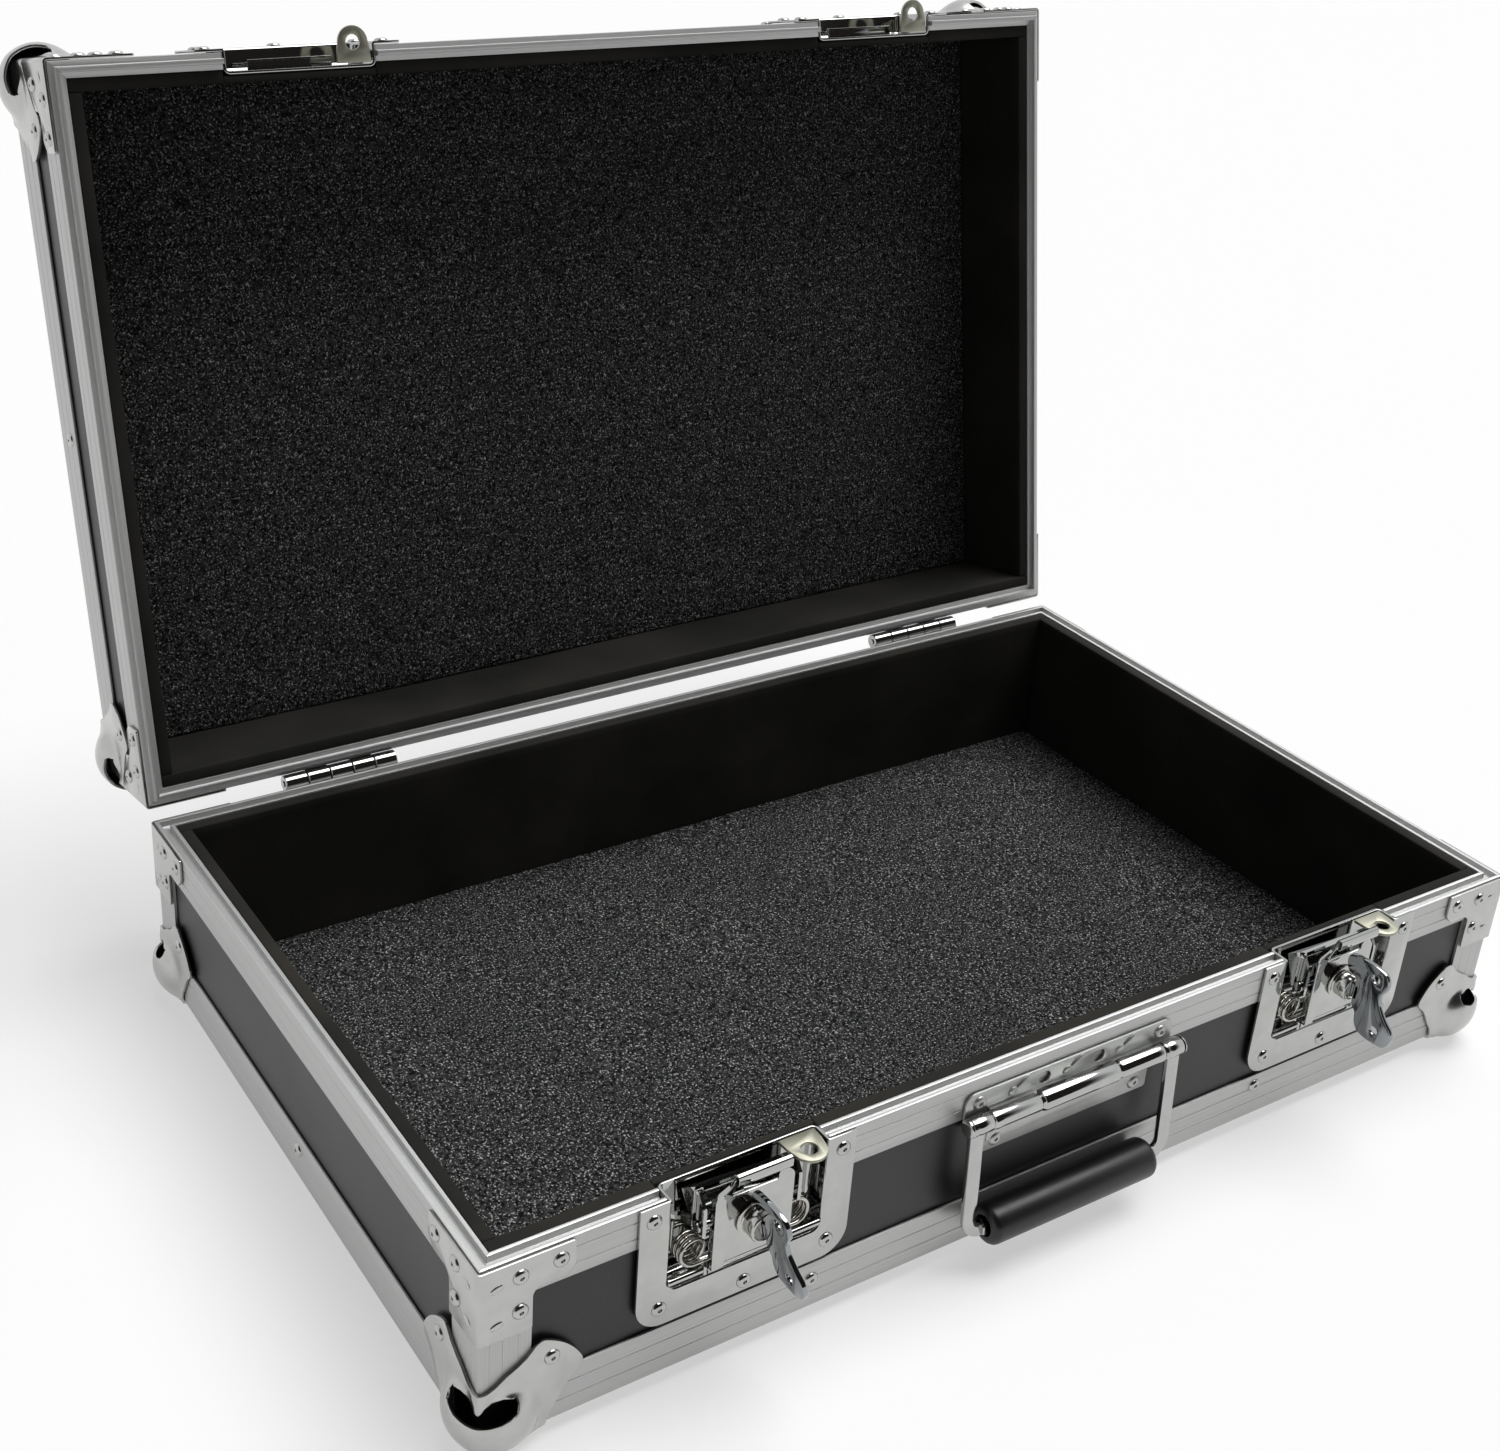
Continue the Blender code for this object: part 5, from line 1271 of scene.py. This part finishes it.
def buildBail():
    # Local axes at the pivot: X along the case, Y up, Z outward; the bail hangs and leans a little
    h = handle
    y, z = h["pivot"]
    lean = Matrix.Rotation(math.radians(h["lean"]), 4, "X")
    frameMatrix = faceFrame("base", "front", 0) @ Matrix.Translation((0, y, z)) @ lean
    outer, band = 57, h["band"]
    inner = outer - band
    low, high = -h["length"] - band / 2, -h["length"] + band / 2
    corner, small = h["bailCorner"], h["bailCorner"] - band
    outline = [
        (outer, 0), (inner, 0), *arcPoints((inner - small, high + small), small, 0, -90, 4),
        *arcPoints((small - inner, high + small), small, -90, -180, 4), (-inner, 0), (-outer, 0),
        *arcPoints((corner - outer, low + corner), corner, 180, 270, 8),
        *arcPoints((outer - corner, low + corner), corner, 270, 360, 8),
    ]
    bm = pressedPlate(outline, -h["thick"], h["thick"], 0.75)
    near, far = h["eye"]
    for sign in (-1, 1):
        start, end = sorted((sign * near, sign * far))
        eye = turned((
            (1.9, start), (3.4, start), (3.95, start + 0.6), (4.0, start + 1.4), (3.8, start + 2.6), (4.0, start + 3.8),
            (4.0, end - 0.7), (3.6, end), (1.9, end),
        ), 32, True)
        copyInto(bm, eye, alongX)
        eye.free()
        rod(bm, (sign * 44.6, -h["length"], 0), (sign * 47.4, -h["length"], 0), 3.6, 6, 0.5)
    whole = bmesh.new()
    copyInto(whole, bm, frameMatrix)
    bm.free()
    finish("handle_bail_shape", whole, "chrome", "handle", ("handle_bail",))
    reach, radius, bore = h["gripHalf"], h["gripRadius"], h["bore"]
    profile = [(bore, -reach + 1.2), (bore + 0.6, -reach), (radius - 3.2, -reach)]
    profile += [(radius - 3.2 + 3.2 * math.sin(a), -reach + 3.2 - 3.2 * math.cos(a)) for a in (0.4, 0.8, 1.2, 1.57)]
    profile += [(r, -h0) for r, h0 in reversed(profile)]
    grip = turned(profile, 64, True)
    whole = bmesh.new()
    copyInto(whole, grip, frameMatrix @ Matrix.Translation((0, -h["length"], 0)) @ alongX)
    grip.free()
    finish("handle_grip_sleeve", whole, "rubber", "handle", ("handle_grip",), 60)
    print("handle: plate, bail and grip")


buildHandlePlate()
buildBail()

# Hinges

hinge = {"centre": 176, "half": 29, "near": -4.3, "far": -2.8, "notch": 4.7, "drop": 28, "radius": 4.2, "count": 5}


def buildHinges():
    g = hinge
    wide, near, far = g["half"], g["near"], g["far"]
    pitch = 2 * wide / g["count"]
    for half in halfNames:
        up = case["up"][half]
        leaf = pressedPlate(
            [(-wide, g["notch"]), (wide, g["notch"]), (wide, g["drop"], 2.0), (-wide, g["drop"], 2.0)], near, far, 0.25
        )
        for number in range(0 if half == "base" else 1, g["count"], 2):
            start, end = -wide + pitch * number + 0.15, -wide + pitch * (number + 1) - 0.15
            block(leaf, (start, 0, near), (end, g["notch"] + 1.5, far), 0.2)
            knuckle = turned((
                (1.6, start), (3.8, start), (g["radius"], start + 0.4), (g["radius"], end - 0.4), (3.8, end), (1.6, end),
            ), 32, True)
            copyInto(leaf, knuckle, alongX)
            knuckle.free()
        if half == "base":
            rod(leaf, (-wide - 0.4, 0, 0), (wide + 0.4, 0, 0), 1.6)
        for x in (-20, 20):
            addRivets(leaf, ((x, 11.5), (x, 22.5)), far)
        for side, sign in sideSigns.items():
            origin = (sign * g["centre"], *case["hinge"][1:])
            bm = bmesh.new()
            copyInto(bm, leaf, axes(origin, (1, 0, 0), (0, 0, -up), (0, 1, 0)))
            place(bm, Matrix(), half)
            node = f"{half}_hinge_leaf_{side}"
            finish(f"{node}_shape", bm, "chrome", half, (node,))
        leaf.free()
    print("hinges: 2")


buildHinges()

# Rivets along the edging

edgingRivets = {"alongFront": ((-124.6, 12.6), (120.6, 15.0)), "alongSide": ((0, 13.0),)}


def buildEdgingRivets():
    for half in halfNames:
        bm = bmesh.new()
        bottom = 1.5 - case["height"][half]
        for face in ("front", "rear", "left", "right"):
            places = edgingRivets["alongFront"] if face in endSigns else edgingRivets["alongSide"]
            for position, row in places:
                addRivets(bm, ((0, row + bottom),), 0, faceFrame(half, face, position))
        place(bm, Matrix(), half)
        finish(f"{half}_edging_rivets", bm, "sheet", half)
    print("edging rivets: 12")


buildEdgingRivets()

# Camera, floor and light

view = {
    "eye": (-511.14, -638.67, 586.11), "right": (0.84231917, -0.53602062, 0.0563943),
    "down": (-0.19846801, -0.40574407, -0.89217835), "forward": (0.50110764, 0.74030646, -0.44814895),
    "lens": 48.9038, "shift": (0.027229, -0.043527),
}


def makeCamera():
    camera = bpy.data.objects.new("camera", bpy.data.cameras.new("camera"))
    bpy.context.scene.collection.objects.link(camera)
    right, down, forward = (Vector(view[key]) for key in ("right", "down", "forward"))
    turn = Matrix((right, -down, -forward)).transposed().to_4x4()
    camera.matrix_world = Matrix.Translation(Vector(view["eye"]) * millimetre) @ turn
    camera.data.sensor_width = 36
    camera.data.lens = view["lens"]
    camera.data.shift_x, camera.data.shift_y = view["shift"]
    bpy.context.scene.camera = camera


def makeFloor():
    bm = bmesh.new()
    low = Matrix.Translation((0, 0, light["floor"]))
    bmesh.ops.create_grid(bm, x_segments=1, y_segments=1, size=light["floorSize"], matrix=low)
    mesh = bpy.data.meshes.new("floor")
    bm.to_mesh(mesh)
    bm.free()
    floor = bpy.data.objects.new("floor", mesh)
    bpy.context.scene.collection.objects.link(floor)
    # Seen directly or in metal the paper is white and its shadow light; to the case it is a plain pale sheet
    material, tree, shader = newMaterial("paperFloor", {"Roughness": 0.9})
    path = addNode(tree, "ShaderNodeLightPath")
    mirrored = addNode(
        tree, "ShaderNodeMath", {"operation": "MAXIMUM"},
        {0: path.outputs["Is Glossy Ray"], 1: path.outputs["Is Transmission Ray"]},
    )
    seen = addNode(
        tree, "ShaderNodeMath", {"operation": "MAXIMUM"}, {0: path.outputs["Is Camera Ray"], 1: mirrored.outputs[0]}
    )
    paper = ramp(tree, seen.outputs[0], 0, 1, (linear("#a8a8a6"), linear("#f9f9f8")))
    tree.links.new(paper.outputs["Color"], shader.inputs["Base Color"])
    share = addNode(tree, "ShaderNodeMath", {"operation": "MULTIPLY"}, {0: seen.outputs[0]})
    share.inputs[1].default_value = light["paperWhite"]
    white = addNode(tree, "ShaderNodeEmission", {"Color": (1, 1, 1, 1), "Strength": 1.0})
    mixed = addNode(
        tree, "ShaderNodeMixShader", links={0: share.outputs[0], 1: shader.outputs[0], 2: white.outputs[0]}
    )
    tree.links.new(mixed.outputs[0], tree.nodes["Material Output"].inputs["Surface"])
    mesh.materials.append(material)


def makeLight():
    # A broad soft lamp overhead and an even studio; what metal reflects is white, with the dark side of
    # the room above and behind the camera
    lamp = bpy.data.objects.new("overheadLamp", bpy.data.lights.new("overheadLamp", "SUN"))
    lamp.data.energy = light["lampPower"]
    lamp.data.angle = math.radians(light["lampAngle"])
    lamp.rotation_euler = Vector(light["lampFrom"]).to_track_quat("Z", "Y").to_euler()
    bpy.context.scene.collection.objects.link(lamp)
    world = bpy.data.worlds.new("studio")
    bpy.context.scene.world = world
    world.use_nodes = True
    tree = world.node_tree
    studio = tree.nodes["Background"]
    studio.inputs["Color"].default_value = linear("#fbfcff")
    studio.inputs["Strength"].default_value = light["studio"]
    direction = addNode(tree, "ShaderNodeTexCoord")
    towards = addNode(tree, "ShaderNodeVectorMath", {"operation": "DOT_PRODUCT"}, {0: direction.outputs["Generated"]})
    towards.inputs[1].default_value = Vector(light["darkSide"]).normalized()
    room = ramp(tree, towards.outputs["Value"], *light["darkEdge"], (linear("#f4f5f6"), linear("#2b2827")))
    reflected = addNode(tree, "ShaderNodeBackground", {"Strength": 1.0}, {"Color": room.outputs["Color"]})
    white = addNode(tree, "ShaderNodeBackground", {"Color": (1, 1, 1, 1), "Strength": 1.0})
    path = addNode(tree, "ShaderNodeLightPath")
    mirror = addNode(
        tree, "ShaderNodeMath", {"operation": "MAXIMUM"},
        {0: path.outputs["Is Glossy Ray"], 1: path.outputs["Is Transmission Ray"]},
    )
    inner = addNode(
        tree, "ShaderNodeMixShader",
        links={0: mirror.outputs["Value"], 1: studio.outputs[0], 2: reflected.outputs[0]},
    )
    outer = addNode(
        tree, "ShaderNodeMixShader",
        links={0: path.outputs["Is Camera Ray"], 1: inner.outputs[0], 2: white.outputs[0]},
    )
    tree.links.new(outer.outputs[0], tree.nodes["World Output"].inputs["Surface"])


light = {
    "floor": -0.0097, "floorSize": 6, "lampPower": 2.9, "lampAngle": 45, "lampFrom": (0.38, 0.02, 1),
    "studio": 0.16, "paperWhite": 0.5, "darkSide": (-0.2, -0.8, 0.55), "darkEdge": (0.42, 0.62),
}
makeCamera()
makeFloor()
makeLight()
bpy.context.scene.view_settings.view_transform = "Standard"
print("stage: camera, floor and light")
